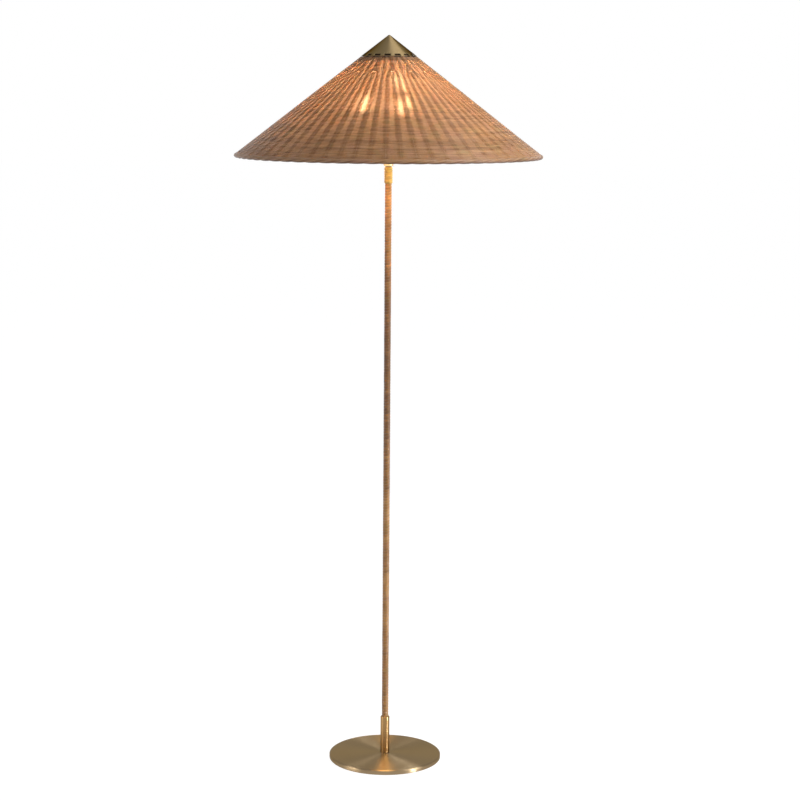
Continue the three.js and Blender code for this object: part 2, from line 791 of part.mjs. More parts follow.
// The woven cone. Stakes raise ribs on both faces. Near the cap, touching pairs of stakes
// alternate with lone ones. Further down the two of a pair part, a stake is added between
// them, and all stand evenly. A steel hoop stands on the cone's top edge inside the cap, and
// a twisted border closes its lower edge.
function makeWeave() {
  const borderDown = coneDown(shadeDiameter / 2 - borderRadius, borderDeep);
  const weaveEnd = borderDown - borderRadius - fit;
  const groupTurn = fullTurn / stakeGroups;
  const closed = (down) => stakeRadius / onCone(down, weaveThickness / 2).x;
  const paired = pairDipShare * weaveRib;
  const rings = [
    { down: weaveTopDown, half: closed(weaveTopDown), added: paired, valley: paired },
    { down: pairCloseDown, half: closed(pairCloseDown), added: paired, valley: paired },
    { down: pairOpenDown, half: groupTurn / 4, added: 0, valley: weaveRib },
    { down: weaveEnd, half: groupTurn / 4, added: 0, valley: weaveRib },
  ];
  const row = ({ down, half, added, valley }, depth) =>
    Array.from({ length: stakeGroups }, (_, group) => {
      const middle = stakeTurn + group * groupTurn;
      const lone = middle + groupTurn / 2;
      const next = middle + groupTurn;
      return [
        { turn: middle, sink: added },
        { turn: middle + half / 2, sink: valley },
        { turn: middle + half, sink: 0 },
        { turn: (middle + half + lone) / 2, sink: weaveRib },
        { turn: lone, sink: 0 },
        { turn: (next - half + lone) / 2, sink: weaveRib },
        { turn: next - half, sink: 0 },
        { turn: next - half / 2, sink: valley },
      ].map(({ turn, sink }) => {
        const place = onCone(down, depth(sink));
        return new THREE.Vector3(place.x * Math.cos(turn), place.x * Math.sin(turn), place.y);
      });
    }).flat();
  const outer = rings.map((ring) => row(ring, (sink) => sink));
  const inner = rings.map((ring) => row(ring, (sink) => weaveThickness - sink));
  add("shade_weave", ringSkin([...inner, ...outer.reverse()]), willow);

  const ringEnd = weaveTopDown - fit;
  const ringTop = ringEnd - topRingWidth;
  const hoop = [
    onCone(ringEnd, topRingDeep + topRingThickness),
    onCone(ringEnd, topRingDeep),
    onCone(ringTop, topRingDeep),
    onCone(ringTop, topRingDeep + topRingThickness),
  ];
  add("top_ring", turned(hoop, shadeFacets), steel);

  const borderMiddle = onCone(borderDown, borderDeep);
  const steps = borderTwists * borderTwistSteps;
  const corners = 2 * borderStrands;
  const rows = Array.from({ length: steps }, (_, i) => {
    const turn = (fullTurn * i) / steps;
    return Array.from({ length: corners }, (_, j) => {
      const angle = (fullTurn * j) / corners + (fullTurn * i) / borderTwistSteps;
      const reach = j % 2 ? borderRadius - borderGroove : borderRadius;
      const out = borderMiddle.x + reach * Math.cos(angle);
      const up = borderMiddle.y + reach * Math.sin(angle);
      return new THREE.Vector3(out * Math.cos(turn), out * Math.sin(turn), up);
    });
  });
  add("rim_border", ringSkin(rows.reverse()), willow);
}

makeFoot();
makeStem();
makeBinding();
makeHub();
branchTurns().forEach((turn, i) => makeBranch(i + 1, turn));
makeCarrier();
makeCap();
makeWeave();

export default lamp;
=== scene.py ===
import math

import bpy
import numpy as np
from mathutils import Matrix, Vector


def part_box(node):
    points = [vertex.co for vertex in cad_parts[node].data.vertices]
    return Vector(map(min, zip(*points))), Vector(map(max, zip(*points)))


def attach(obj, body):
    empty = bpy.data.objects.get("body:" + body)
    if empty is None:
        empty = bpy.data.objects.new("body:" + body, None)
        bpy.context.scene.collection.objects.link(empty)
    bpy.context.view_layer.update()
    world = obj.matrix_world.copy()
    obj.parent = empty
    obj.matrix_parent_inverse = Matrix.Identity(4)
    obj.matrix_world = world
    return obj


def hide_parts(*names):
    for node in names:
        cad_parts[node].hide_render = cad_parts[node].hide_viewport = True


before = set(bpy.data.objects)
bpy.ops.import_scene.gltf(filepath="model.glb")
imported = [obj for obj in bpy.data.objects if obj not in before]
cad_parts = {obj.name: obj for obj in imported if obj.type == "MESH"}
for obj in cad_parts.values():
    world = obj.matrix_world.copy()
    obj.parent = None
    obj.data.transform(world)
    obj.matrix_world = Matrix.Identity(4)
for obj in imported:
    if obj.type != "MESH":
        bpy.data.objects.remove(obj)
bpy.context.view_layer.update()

# Sizes in metres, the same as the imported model's
SLOPE = math.radians(37.35)
SIN, COS = math.sin(SLOPE), math.cos(SLOPE)
HEIGHT = 1.531
TIP = 0.0036
APEX = HEIGHT + TIP * (1 / COS - 1)
TURN = 2 * math.pi
FIT = 0.0003
STEM_BORE = 0.0053
ROD_BORE = 0.0043


# ---- Camera ----

# Fitted to the photograph's outlines
CAMERA_PLACE = Vector((0.0272, -4.164, 1.442))
CAMERA_DIP = math.radians(9.05)
CAMERA_ROLL = math.radians(0.42)
CAMERA_LENS = 90.63


def make_camera():
    """The photograph's camera: level, then dipped and rolled as the fit says."""
    data = bpy.data.cameras.new("camera")
    data.lens = CAMERA_LENS
    data.sensor_width = 36
    camera = bpy.data.objects.new("camera", data)
    look = Matrix.Rotation(math.pi / 2 - CAMERA_DIP, 4, "X")
    roll = Matrix.Rotation(CAMERA_ROLL, 4, "Z")
    camera.matrix_world = Matrix.Translation(CAMERA_PLACE) @ look @ roll
    bpy.context.scene.collection.objects.link(camera)
    bpy.context.scene.camera = camera


# ---- Meshes from grids of points ----

def grid_quads(count, rows, columns, wrap_rows):
    """Corner numbers of the quads on count grids of rows x columns points. Columns always close
    on themselves, and rows do where wrap_rows is true."""
    spans = rows if wrap_rows else rows - 1
    k, i, j = np.meshgrid(np.arange(count), np.arange(spans), np.arange(columns), indexing="ij")
    start = k * rows * columns
    below = (i + 1) % rows
    beside = (j + 1) % columns
    corners = [i * columns + j, i * columns + beside, below * columns + beside, below * columns + j]
    return np.stack([start + c for c in corners], -1).reshape(-1, 4)


def end_fans(count, rows, columns, first_pole):
    """Triangles from each grid's first and last row to its two poles, which are numbered
    from first_pole on, two to a grid."""
    k, j = np.meshgrid(np.arange(count), np.arange(columns), indexing="ij")
    start = k * rows * columns
    beside = (j + 1) % columns
    pole = first_pole + 2 * k
    last = start + (rows - 1) * columns
    head = np.stack([pole, start + beside, start + j], -1)
    tail = np.stack([pole + 1, last + j, last + beside], -1)
    return np.concatenate([head.reshape(-1, 3), tail.reshape(-1, 3)])


def volume(points, quads, tris):
    """Signed volume of a closed skin: a sixth of the sum of its triangles' triple products."""
    faces = np.concatenate([quads[:, [0, 1, 2]], quads[:, [0, 2, 3]], tris])
    a, b, c = (points[faces[:, i]] for i in range(3))
    return np.einsum("ij,ij->i", a, np.cross(b, c)).sum() / 6


def link_piece(name, points, quads, tris, sharp=None, layers=None, along=None):
    """A mesh object from points (n, 3), quads (m, 4) and triangles (t, 3). sharp is the angle in
    degrees from which an edge isn't smoothed, layers are float attributes of the points, and
    along is a UV for each point."""
    loops = np.concatenate([quads.ravel(), tris.ravel()])
    starts = np.concatenate([np.arange(len(quads)) * 4, len(quads) * 4 + np.arange(len(tris)) * 3])
    mesh = bpy.data.meshes.new(name)
    mesh.vertices.add(len(points))
    mesh.vertices.foreach_set("co", points.astype(np.float32).ravel())
    mesh.loops.add(len(loops))
    mesh.loops.foreach_set("vertex_index", loops.astype(np.int32))
    mesh.polygons.add(len(starts))
    mesh.polygons.foreach_set("loop_start", starts.astype(np.int32))
    mesh.update(calc_edges=True)
    mesh.polygons.foreach_set("use_smooth", np.ones(len(starts), bool))
    if sharp is not None:
        mesh.set_sharp_from_angle(angle=math.radians(sharp))
    for key, values in (layers or {}).items():
        layer = mesh.attributes.new(key, "FLOAT", "POINT")
        layer.data.foreach_set("value", values.astype(np.float32).ravel())
    if along is not None:
        uv = mesh.uv_layers.new(name="along")
        uv.data.foreach_set("uv", along[loops].astype(np.float32).ravel())
    mesh.validate()
    piece = bpy.data.objects.new(name, mesh)
    bpy.context.scene.collection.objects.link(piece)
    return piece


def open_skin(name, points, quads, tris, sharp):
    """An open sheet whose faces look up and out, before a wall is given to it."""
    def facing_up(faces):
        """Faces turned over where their normals look down on average."""
        a, b, c = (points[faces[:, i]] for i in range(3))
        return faces if np.cross(b - a, c - a)[:, 2].mean() >= 0 else faces[:, ::-1]
    return link_piece(name, points, facing_up(quads), facing_up(tris), sharp)


def skins(name, rings, poles=None, sharp=None, layers=None, along=None):
    """Closed skins over rings (count, rows, columns, 3), turned outwards. Rows close on
    themselves, or meet two poles (count, 2, 3) where those are given. layers and along
    broadcast to the same grid."""
    grid = rings.shape[:3]
    count, rows, columns = grid
    points = rings.reshape(-1, 3)
    quads = grid_quads(count, rows, columns, poles is None)
    tris = np.zeros((0, 3), int)
    layers = {key: np.broadcast_to(v, grid).reshape(-1) for key, v in (layers or {}).items()}
    along = None if along is None else np.broadcast_to(along, grid + (2,)).reshape(-1, 2)
    if poles is not None:
        tris = end_fans(count, rows, columns, len(points))
        points = np.concatenate([points, poles.reshape(-1, 3)])
        ends = (np.arange(count)[:, None] * rows + [0, rows - 1]).ravel() * columns
        layers = {key: np.concatenate([v, v[ends]]) for key, v in layers.items()}
        along = None if along is None else np.concatenate([along, along[ends]])
    if volume(points, quads, tris) < 0:
        quads, tris = quads[:, ::-1], tris[:, ::-1]
    return link_piece(name, points, quads, tris, sharp, layers, along)


def circle(count):
    """Evenly spread angles."""
    return np.linspace(0, TURN, count, endpoint=False)


def join(*parts):
    """Arrays that broadcast, stacked as the last axis."""
    return np.stack(np.broadcast_arrays(*parts), -1)


def polar(radius, turn, height):
    """Places by their radius, angle and height about the vertical axis."""
    return join(radius * np.cos(turn), radius * np.sin(turn), height)


def unit(vectors):
    """Vectors over their own lengths."""
    return vectors / np.linalg.norm(vectors, axis=-1, keepdims=True)


def eased(corners, steps):
    """An outline with its corners rounded. Each corner is (radius, height, ease): the outline
    leaves the corner's sides at ease from it and runs over a quadratic curve between."""
    corners = [tuple(c) + (0,) * (3 - len(c)) for c in corners]
    closed = corners[0][0] > 0
    out = []
    for i, (r, z, ease) in enumerate(corners):
        here = np.array([r, z])
        if ease == 0 or (not closed and i in (0, len(corners) - 1)):
            out.append(here[None])
            continue
        before = np.array(corners[i - 1][:2]) - here
        after = np.array(corners[(i + 1) % len(corners)][:2]) - here
        a = here + before / np.linalg.norm(before) * ease
        b = here + after / np.linalg.norm(after) * ease
        t = np.linspace(0, 1, steps + 1)[:, None]
        out.append((1 - t) ** 2 * a + 2 * t * (1 - t) * here + t**2 * b)
    return np.concatenate(out)


def revolve(name, outline, turns, place=(0, 0, 0), sharp=32, wave=None):
    """Turns an outline of (radius, height) about the vertical through place: each point runs
    round a circle. wave may change the radius by height and angle. An outline that starts on
    the axis is closed there with poles."""
    angle = circle(turns)
    solid = outline[0, 0] == 0
    body = outline[1:-1] if solid else outline
    radius, height = body[:, :1], body[:, 1:]
    if wave is not None:
        radius = wave(radius, height, angle)
    rings = polar(radius, angle, height) + place
    poles = None
    if solid:
        poles = polar(0, 0, outline[[0, -1], 1])[None] + place
    return skins(name, rings[None], poles, sharp)


def tube(name, path, side, up, radius, sides, sharp):
    """A round section along a path (n, 3), with flat ends: at each place radius times the cosine
    of an angle goes along side, and radius times its sine along up."""
    angle = circle(sides)[None, :, None]
    rings = path[:, None] + radius * (side[:, None] * np.cos(angle) + up[:, None] * np.sin(angle))
    return skins(name, rings[None], path[[0, -1]][None], sharp)


def round_bar(name, path, across, radius, sides):
    """A round bar along a path in a plane whose normal is across: circles square to the path,
    from the normal and its cross product with the tangent."""
    side = np.broadcast_to(across, path.shape)
    up = np.cross(side, unit(np.gradient(path, axis=0)))
    return tube(name, path, side, up, radius, sides, 40)


def smooth(share):
    """0 to 1 with level ends: 3 s^2 - 2 s^3."""
    share = np.clip(share, 0, 1)
    return share * share * (3 - 2 * share)


def on_cone(down, deep, turn):
    """Places on the shade's cone: down its slope from the point where its faces would meet,
    deep under the outer face, at an angle round the lamp. The arrays broadcast."""
    return polar(down * COS - deep * SIN, turn, APEX - down * SIN - deep * COS)


# ---- Finishes ----

class Finish:
    """A material or a world, built a node at a time."""

    def __init__(self, name, world=False):
        self.owner = (bpy.data.worlds if world else bpy.data.materials).new(name)
        self.owner.use_nodes = True
        self.tree = self.owner.node_tree
        self.tree.nodes.clear()
        self.output = self.put("OutputWorld" if world else "OutputMaterial")

    def put(self, kind, settings=None, **inputs):
        """Adds a node. Inputs are named by their sockets, or i0, i1 and so on by number. An
        output socket is linked, and a plain value is set."""
        node = self.tree.nodes.new("ShaderNode" + kind)
        for key, value in (settings or {}).items():
            setattr(node, key, value)
        for key, value in inputs.items():
            socket = node.inputs[int(key[1:]) if key[1:].isdigit() else key.replace("_", " ")]
            if isinstance(value, bpy.types.NodeSocket):
                self.tree.links.new(value, socket)
            else:
                socket.default_value = value
        return node

    def scaled(self, where, scale):
        """A place times a scale."""
        return self.put("Mapping", i0=where, i3=scale).outputs[0]

    def place(self, scale=(1, 1, 1)):
        """Object coordinates, scaled."""
        return self.scaled(self.put("TexCoord").outputs["Object"], scale)

    def strip(self, scale):
        """The piece's own length along and round its strip, scaled."""
        return self.scaled(self.put("UVMap", {"uv_map": "along"}).outputs[0], scale)

    def layer(self, name):
        """The piece's own float layer of that name."""
        return self.put("Attribute", {"attribute_name": name}).outputs["Fac"]

    def noise(self, where, scale, detail, rough=0.5):
        """Noise of 0 to 1 over a place."""
        inputs = {"Vector": where, "Scale": scale, "Detail": detail, "Roughness": rough}
        return self.put("TexNoise", **inputs).outputs["Fac"]

    def ramp(self, value, *stops):
        """A colour ramp. The places are set first, since the elements sort themselves by them."""
        node = self.put("ValToRGB", i0=value)
        for _ in stops[2:]:
            node.color_ramp.elements.new(0.5)
        for element, (at, _) in zip(node.color_ramp.elements, stops):
            element.position = at
        for element, (_, colour) in zip(node.color_ramp.elements, stops):
            element.color = (*colour, 1)
        return node.outputs["Color"]

    def span(self, value, low, high):
        """A value of 0 to 1 spread between low and high."""
        return self.put("MapRange", i0=value, i3=low, i4=high).outputs[0]

    def maths(self, operation, *values):
        inputs = {f"i{i}": v for i, v in enumerate(values)}
        return self.put("Math", {"operation": operation}, **inputs).outputs[0]

    def mix(self, share, a, b, way="MIX"):
        """Two colours mixed."""
        a, b = (c if isinstance(c, bpy.types.NodeSocket) else (*c, 1) for c in (a, b))
        settings = {"data_type": "RGBA", "blend_type": way}
        return self.put("Mix", settings, i0=share, i6=a, i7=b).outputs[2]

    def bump(self, height, distance, strength):
        """A normal that leans with the slope of height."""
        return self.put("Bump", Strength=strength, Distance=distance, Height=height).outputs[0]

    def rays(self):
        """Whether a ray comes from the camera, and whether from a gloss or through glass."""
        path = self.put("LightPath").outputs
        mirrored = self.maths("MAXIMUM", path["Is Glossy Ray"], path["Is Transmission Ray"])
        return path["Is Camera Ray"], mirrored

    def blend(self, share, first, second):
        """Two shaders mixed."""
        return self.put("MixShader", i0=share, i1=first.outputs[0], i2=second.outputs[0])

    def radial(self, axis):
        """The direction round an axis, for a brushed gloss."""
        return self.put("Tangent", {"direction_type": "RADIAL", "axis": axis}).outputs[0]

    def principled(self, **inputs):
        return self.put("BsdfPrincipled", **inputs)

    def done(self, shader):
        """Links the shader and gives back the material or the world."""
        self.tree.links.new(shader.outputs[0], self.output.inputs["Surface"])
        return self.owner


def srgb(r, g, b):
    """A colour of 0 to 255 as linear light: ((c + 0.055) / 1.055) ^ 2.4 over the dark end."""
    def one(c):
        c = c / 255
        return c / 12.92 if c <= 0.04045 else ((c + 0.055) / 1.055) ** 2.4
    return (one(r), one(g), one(b))


EDGE_TINT = (0.52, 0.47, 0.40, 1)


def brass(name, deep, pale, lines, rough, anisotropic, tangent=None, edge=EDGE_TINT):
    """Aged brass: broad stains between two tones, fine brushed lines, and a brushed gloss.
    lines is the scale of the brushing on object coordinates, tangent the axis that the
    brushing runs round, and edge the tint of the metal at a low angle."""
    f = Finish(name)
    where = f.place()
    broad = f.noise(where, 14.0, 4.0, 0.6)
    colour = f.mix(broad, deep, pale)
    drawn = f.noise(f.place(scale=lines), 1.0, 5.0, 0.7)
    colour = f.mix(f.span(drawn, 0.0, 0.28), colour, tuple(0.45 * c for c in deep))
    gloss = f.maths("ADD", f.span(drawn, rough - 0.06, rough + 0.06), f.span(broad, -0.04, 0.06))
    inputs = {"Base_Color": colour, "Metallic": 1.0, "Roughness": gloss,
              "Anisotropic": anisotropic, "Anisotropic_Rotation": 0.25, "Specular_Tint": edge,
              "Normal": f.bump(drawn, 0.00004, 0.5)}
    if tangent is not None:
        inputs["Tangent"] = f.radial(tangent)
    return f.done(f.principled(**inputs))


def foot_brass(name):
    """Turned brass with fine circular brushing: rings of noise over the distance from the
    lamp's axis, and a gloss that spreads across the rings."""
    f = Finish(name)
    where = f.place()
    x, y, z = f.put("SeparateXYZ", i0=where).outputs
    x2, y2 = f.maths("MULTIPLY", x, x), f.maths("MULTIPLY", y, y)
    reach, angle = f.maths("SQRT", f.maths("ADD", x2, y2)), f.maths("ARCTAN2", y, x)
    rings = f.put("CombineXYZ", i0=reach, i1=angle, i2=z).outputs[0]
    drawn = f.noise(f.scaled(rings, (2600, 1.6, 900)), 1.0, 4.0, 0.6)
    broad = f.noise(where, 9.0, 3.0, 0.55)
    colour = f.mix(f.span(broad, 0.1, 0.9), srgb(148, 126, 95), srgb(168, 146, 116))
    colour = f.mix(f.span(drawn, 0.0, 0.25), colour, srgb(112, 92, 64))
    gloss = f.maths("ADD", f.span(drawn, 0.29, 0.37), f.span(broad, -0.03, 0.05))
    return f.done(f.principled(Base_Color=colour, Metallic=1.0, Roughness=gloss,
                               Anisotropic=0.96, Anisotropic_Rotation=0.25,
                               Tangent=f.radial("Z"), Specular_Tint=EDGE_TINT,
                               Normal=f.bump(drawn, 0.00003, 0.4)))


# Tints of the patches in cane, and the share of pale light in what passes through it
OLIVE, TAWNY = (0.90, 0.92, 0.72), (1.0, 0.88, 0.70)
PLAIN, ROSY = (1.0, 0.97, 0.93), (1.0, 0.88, 0.90)
PALE_SHARE = 0.58


def cane(name, dark, middle, light, through, grain, gloss=0.42, sheen=0.25):
    """Varnished cane: a tone for each rod from its own layer, which on the stem's winding, the
    weavers and the border carries painted shade too, long fibres along the strip, freckles, and
    broad patches of olive, tawny and rosy cane. through names the layer with the share of light
    that passes, or is nought."""
    f = Finish(name)
    tone = f.layer("tone")
    fibre = f.noise(f.strip(grain), 1.0, 5.0, 0.65)
    freckle = f.noise(f.place(), 420.0, 2.0, 0.5)
    value = f.maths("ADD", tone, f.span(fibre, -0.20, 0.20))
    value = f.maths("ADD", value, f.span(freckle, -0.06, 0.06))
    colour = f.ramp(value, (0.15, dark), (0.5, middle), (0.85, light))
    patch = f.noise(f.place(), 34.0, 2.0, 0.6)
    tint = f.ramp(patch, (0.34, OLIVE), (0.44, TAWNY), (0.54, PLAIN), (0.68, ROSY))
    colour = f.mix(1.0, colour, tint, "MULTIPLY")
    bump = f.bump(fibre, 0.00012, 0.35)
    body = f.principled(Base_Color=colour, Roughness=f.span(fibre, gloss - 0.08, gloss + 0.14),
                        Normal=bump, Coat_Weight=sheen, Coat_Roughness=0.3)
    if through == 0:
        return f.done(body)
    glow = f.mix(PALE_SHARE, colour, srgb(255, 238, 212))
    lit = f.put("BsdfTranslucent", Color=glow, Normal=bump)
    return f.done(f.blend(f.layer(through), body, lit))


def plain(name, colour, rough, metallic, grain, swing=0.12, bump=0.00003):
    """A finish of one colour, with a fine mottle in its colour, gloss and surface."""
    f = Finish(name)
    mottle = f.noise(f.place(), grain, 4.0, 0.6)
    shade = f.mix(mottle, tuple((1 - swing) * c for c in colour),
                  tuple(min(1.0, (1 + swing) * c) for c in colour))
    gloss = f.span(mottle, rough - 0.05, rough + 0.08)
    return f.done(f.principled(Base_Color=shade, Roughness=gloss, Metallic=metallic,
                               Normal=f.bump(mottle, bump, 0.5)))


def clear_glass(name):
    """Thin clear glass, which lets the lamps' light straight through."""
    f = Finish(name)
    glass = f.principled(Base_Color=(1.0, 0.98, 0.94, 1), Roughness=0.02, IOR=1.45,
                         Transmission_Weight=1.0)
    clear = f.put("BsdfTransparent", Color=(1.0, 0.98, 0.95, 1))
    path = f.put("LightPath").outputs
    through = f.maths("MAXIMUM", path["Is Shadow Ray"], path["Is Diffuse Ray"])
    return f.done(f.blend(through, glass, clear))


def lit_filament(name):
    """Filaments that glow, in fine beads of two warm tones."""
    f = Finish(name)
    beads = f.noise(f.place(scale=(1, 1, 900)), 1.0, 2.0)
    colour = f.ramp(beads, (0.3, srgb(255, 196, 110)), (0.7, srgb(255, 226, 160)))
    return f.done(f.principled(Base_Color=colour, Roughness=0.5, Emission_Color=colour,
                               Emission_Strength=60.0))


BRUSHED_ROUND = (3, 3, 900)
BRUSHED_FINE = (500, 500, 40)
FOOT_BRASS = foot_brass("turned_brass")
# The cap's edge tint is nearly black: painted shade that darkens its edges at a low angle
CAP_BRASS = brass("spun_brass", srgb(137, 117, 84), srgb(167, 146, 110), BRUSHED_ROUND,
                  0.34, 0.75, "Z", (0.16, 0.14, 0.11, 1))
COLLAR_BRASS = brass("drawn_brass", srgb(148, 114, 70), srgb(188, 154, 108), BRUSHED_ROUND,
                     0.28, 0.9, "Z")
# The neck ring's brass is painted much paler than the fittings' brass, a painted highlight that
# keeps it bright cream
PALE_LIT_RING_BRASS = brass("ring_brass_painted_highlight", srgb(222, 192, 146), srgb(246, 222, 182), BRUSHED_FINE,
                   0.30, 0.0)
FITTING_BRASS = brass("fitting_brass", srgb(170, 130, 78), srgb(198, 160, 106), BRUSHED_FINE,
                      0.28, 0.0)
WILLOW = cane("willow_weaver", srgb(130, 84, 45), srgb(179, 132, 90), srgb(208, 167, 124),
              "thin", (90, 3, 1))
STAKE = cane("willow_stake", srgb(112, 74, 48), srgb(146, 102, 70), srgb(174, 128, 94),
             "thin", (60, 3, 1))
# The border's cane is painted darker than the weavers' cane, as shade on the lower edge
BORDER = cane("willow_border", srgb(92, 64, 44), srgb(130, 94, 66), srgb(166, 128, 94),
              0, (60, 3, 1))
RATTAN = cane("rattan_peel", srgb(110, 74, 38), srgb(160, 116, 66), srgb(198, 154, 96),
              0, (50, 8, 1), 0.38, 0.2)
BINDING = cane("rattan_binding", srgb(114, 94, 44), srgb(168, 144, 80), srgb(198, 174, 104),
               0, (50, 8, 1), 0.38, 0.2)
# The steel band inside the cap is painted dark brown, as the shade seen through the cap's slots
SLOT_SHADE_STEEL = plain("steel_painted_slot_shade", srgb(78, 56, 40), 0.6, 0.0, 200.0)
STEEL = plain("zinc_steel", srgb(150, 150, 152), 0.35, 1.0, 200.0)
NICKEL = plain("nickel", srgb(196, 190, 180), 0.28, 1.0, 300.0)
PORCELAIN = plain("porcelain", srgb(232, 228, 216), 0.2, 0.0, 90.0, 0.04)
FELT = plain("felt", srgb(48, 46, 44), 0.95, 0.0, 900.0, 0.3, 0.0004)
SLEEVE = plain("wire_sleeve", srgb(84, 62, 44), 0.6, 0.0, 800.0, 0.25, 0.0002)
BUSH = plain("bush_plastic", srgb(44, 38, 32), 0.45, 0.0, 300.0)
GLASS = clear_glass("bulb_glass")
GLOW = lit_filament("filament_glow")


def dress(piece, finish, body, slot, *nodes):
    """Gives a new piece its finish and its body, and hides the imported nodes that it stands for.
    slot is not used.
    """
    piece.data.materials.append(finish)
    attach(piece, body)
    if nodes:
        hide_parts(*nodes)
    return piece


def refinish(finish, *nodes):
    """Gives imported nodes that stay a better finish."""
    for name in nodes:
        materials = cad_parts[name].data.materials
        materials.clear()
        materials.append(finish)


# ---- Foot and stem ----

def measure(node):
    """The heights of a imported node's underside and top, and its reach from the lamp's axis."""
    low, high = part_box(node)
    return low.z, high.z, high.x


def make_foot():
    """The foot: a flat disc with a softly turned top edge and a pocket underneath for the
    washer and nut, and its felt."""
    low, high, reach = measure("foot_plate")
    pocket, ceiling = 0.0125, low + 0.0057
    outline = eased([
        (pocket, low, 0.0003),
        (reach - 0.0010, low, 0.0006),
        (reach, low + 0.0012, 0.0005),
        (reach, high - 0.0022, 0.0012),
        (reach - 0.0034, high, 0.0014),
        (STEM_BORE, high, 0.0003),
        (STEM_BORE, ceiling),
        (pocket, ceiling, 0.0003),
    ], 6)
    dress(revolve("foot_disc", outline, 256), FOOT_BRASS, "stand", "brass", "foot_plate")
    low, high, reach = measure("foot_pad")
    pad = eased([(0, low), (reach, low, 0.0002), (reach, high, 0.0002), (0, high)], 3)
    dress(revolve("felt_pad", pad, 192), FELT, "stand", "felt", "foot_pad")
    refinish(STEEL, "foot_washer", "foot_nut", "foot_stud", "stem_tube")


def make_collar():
    """The collar: a plain drawn sleeve with a rounded lip round the winding. Its bush and the
    lead inside it: straight down, round a quarter circle and out into the bush."""
    low, high, reach = measure("stem_collar")
    bore, seat = measure("rattan_wrap")[2] + FIT, high - 0.0063
    outline = eased([
        (STEM_BORE, low, 0.0002),
        (reach, low, 0.0004),
        (reach, high, 0.0014),
        (bore, high, 0.0003),
        (bore, seat),
        (STEM_BORE, seat),
    ], 6)
    dress(revolve("collar_sleeve", outline, 96), COLLAR_BRASS, "stand", "brass", "stem_collar")
    near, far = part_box("lead_bush")
    level, deep = (near.z + far.z) / 2, far.y - near.y
    bush = eased([
        (0.0028, 0.0, 0.0003), (0.0052, 0.0, 0.0007), (0.0052, 0.0016, 0.0002),
        (0.0039, 0.0016), (0.0039, deep), (0.0028, deep),
    ], 4)
    piece = revolve("cord_bush", bush, 48)
    outlet = Matrix.Translation((0, far.y, level))
    piece.data.transform(outlet @ Matrix.Rotation(math.pi / 2, 4, "X"))
    dress(piece, BUSH, "stand", "dark_plastic", "lead_bush")
    bend, lead_radius, midway = 0.009, 0.0025, 0.2
    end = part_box("stem_lead")[1]
    a = np.linspace(0, math.pi / 2, 12)
    out = np.concatenate([[0, 0], bend * (1 - np.cos(a)), [end.y]])
    up = np.concatenate([[end.z, midway], level + bend * (1 - np.sin(a)), [level]])
    lead = round_bar("inner_lead", join(0, out, up), (1, 0, 0), lead_radius, 16)
    dress(lead, SLEEVE, "stand", "insulation", "stem_lead")


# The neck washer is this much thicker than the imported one, and the hub's edge starts above it
NECK_RISE = 0.0024
# Painted shade on the winding by height: darkest about 0.8 m up, where less light falls on it, and
# dark again at its very top under the washer
STEM_UP = [0.10, 0.35, 0.57, 0.82, 0.95, 1.09, 1.20, 1.262, 1.263]
STEM_PAINTED_SHADE = [-0.05, 0.02, 0.04, -0.42, -0.26, -0.16, 0.0, 0.0, -0.50]


def strip_winding(name, inner, thick, width, pitch, low, high, rod_turns, seed):
    """A flat strip wound as one helix: a squared oval section, from powers of sine and cosine,
    carried round the stem at a steady climb. The first and last turn lie flat at the ends.
    Each rod of cane lasts rod_turns and has its own tone, slower noises change it, and painted
    shade by height darkens it where less light falls."""
    draw = np.random.default_rng(seed)
    per_turn, corners = 26, 10
    loops = (high - low - width) / pitch
    steps = int((loops + 2) * per_turn) + 1
    turn = np.arange(steps) * TURN / per_turn
    climb = low + width / 2 + pitch * (turn / TURN - 1)
    rise = np.clip(climb, low + width / 2, high - width / 2)
    under = np.clip(np.abs(climb - rise) / pitch * 6, 0, 1) * 0.00025
    angle = circle(corners)
    across = np.sign(np.cos(angle)) * np.abs(np.cos(angle)) ** 0.6 * width / 2
    bulge = np.sign(np.sin(angle)) * np.abs(np.sin(angle)) ** 0.8 * thick / 2

    def course(values):
        """Values spread evenly along the strip, in straight lines."""
        return np.interp(turn, np.linspace(0, turn[-1], len(values)), values)
    wander = course(draw.normal(0, 0.00006, 60))
    wide = course(draw.uniform(0.96, 1.0, 90))
    radius = inner + thick / 2 + bulge + (wander - under)[:, None]
    height = rise[:, None] + across * wide[:, None]
    rings = polar(radius, turn[:, None], height)
    poles = rings[[0, -1]].mean(1)
    rod = (turn / TURN / rod_turns).astype(int)
    base = draw.uniform(0.42, 0.60, rod.max() + 2)[rod]
    slow = course(draw.normal(0, 0.05, 160)) + course(draw.normal(0, 0.07, 900))
    # The rods' own tones and slow noises, plus painted shade by height
    tone = base + (slow + np.interp(rise, STEM_UP, STEM_PAINTED_SHADE))
    along = join((turn * inner)[:, None], across * 60)
    return skins(name, rings[None], poles[None], 50, {"tone": tone[:, None]}, along)


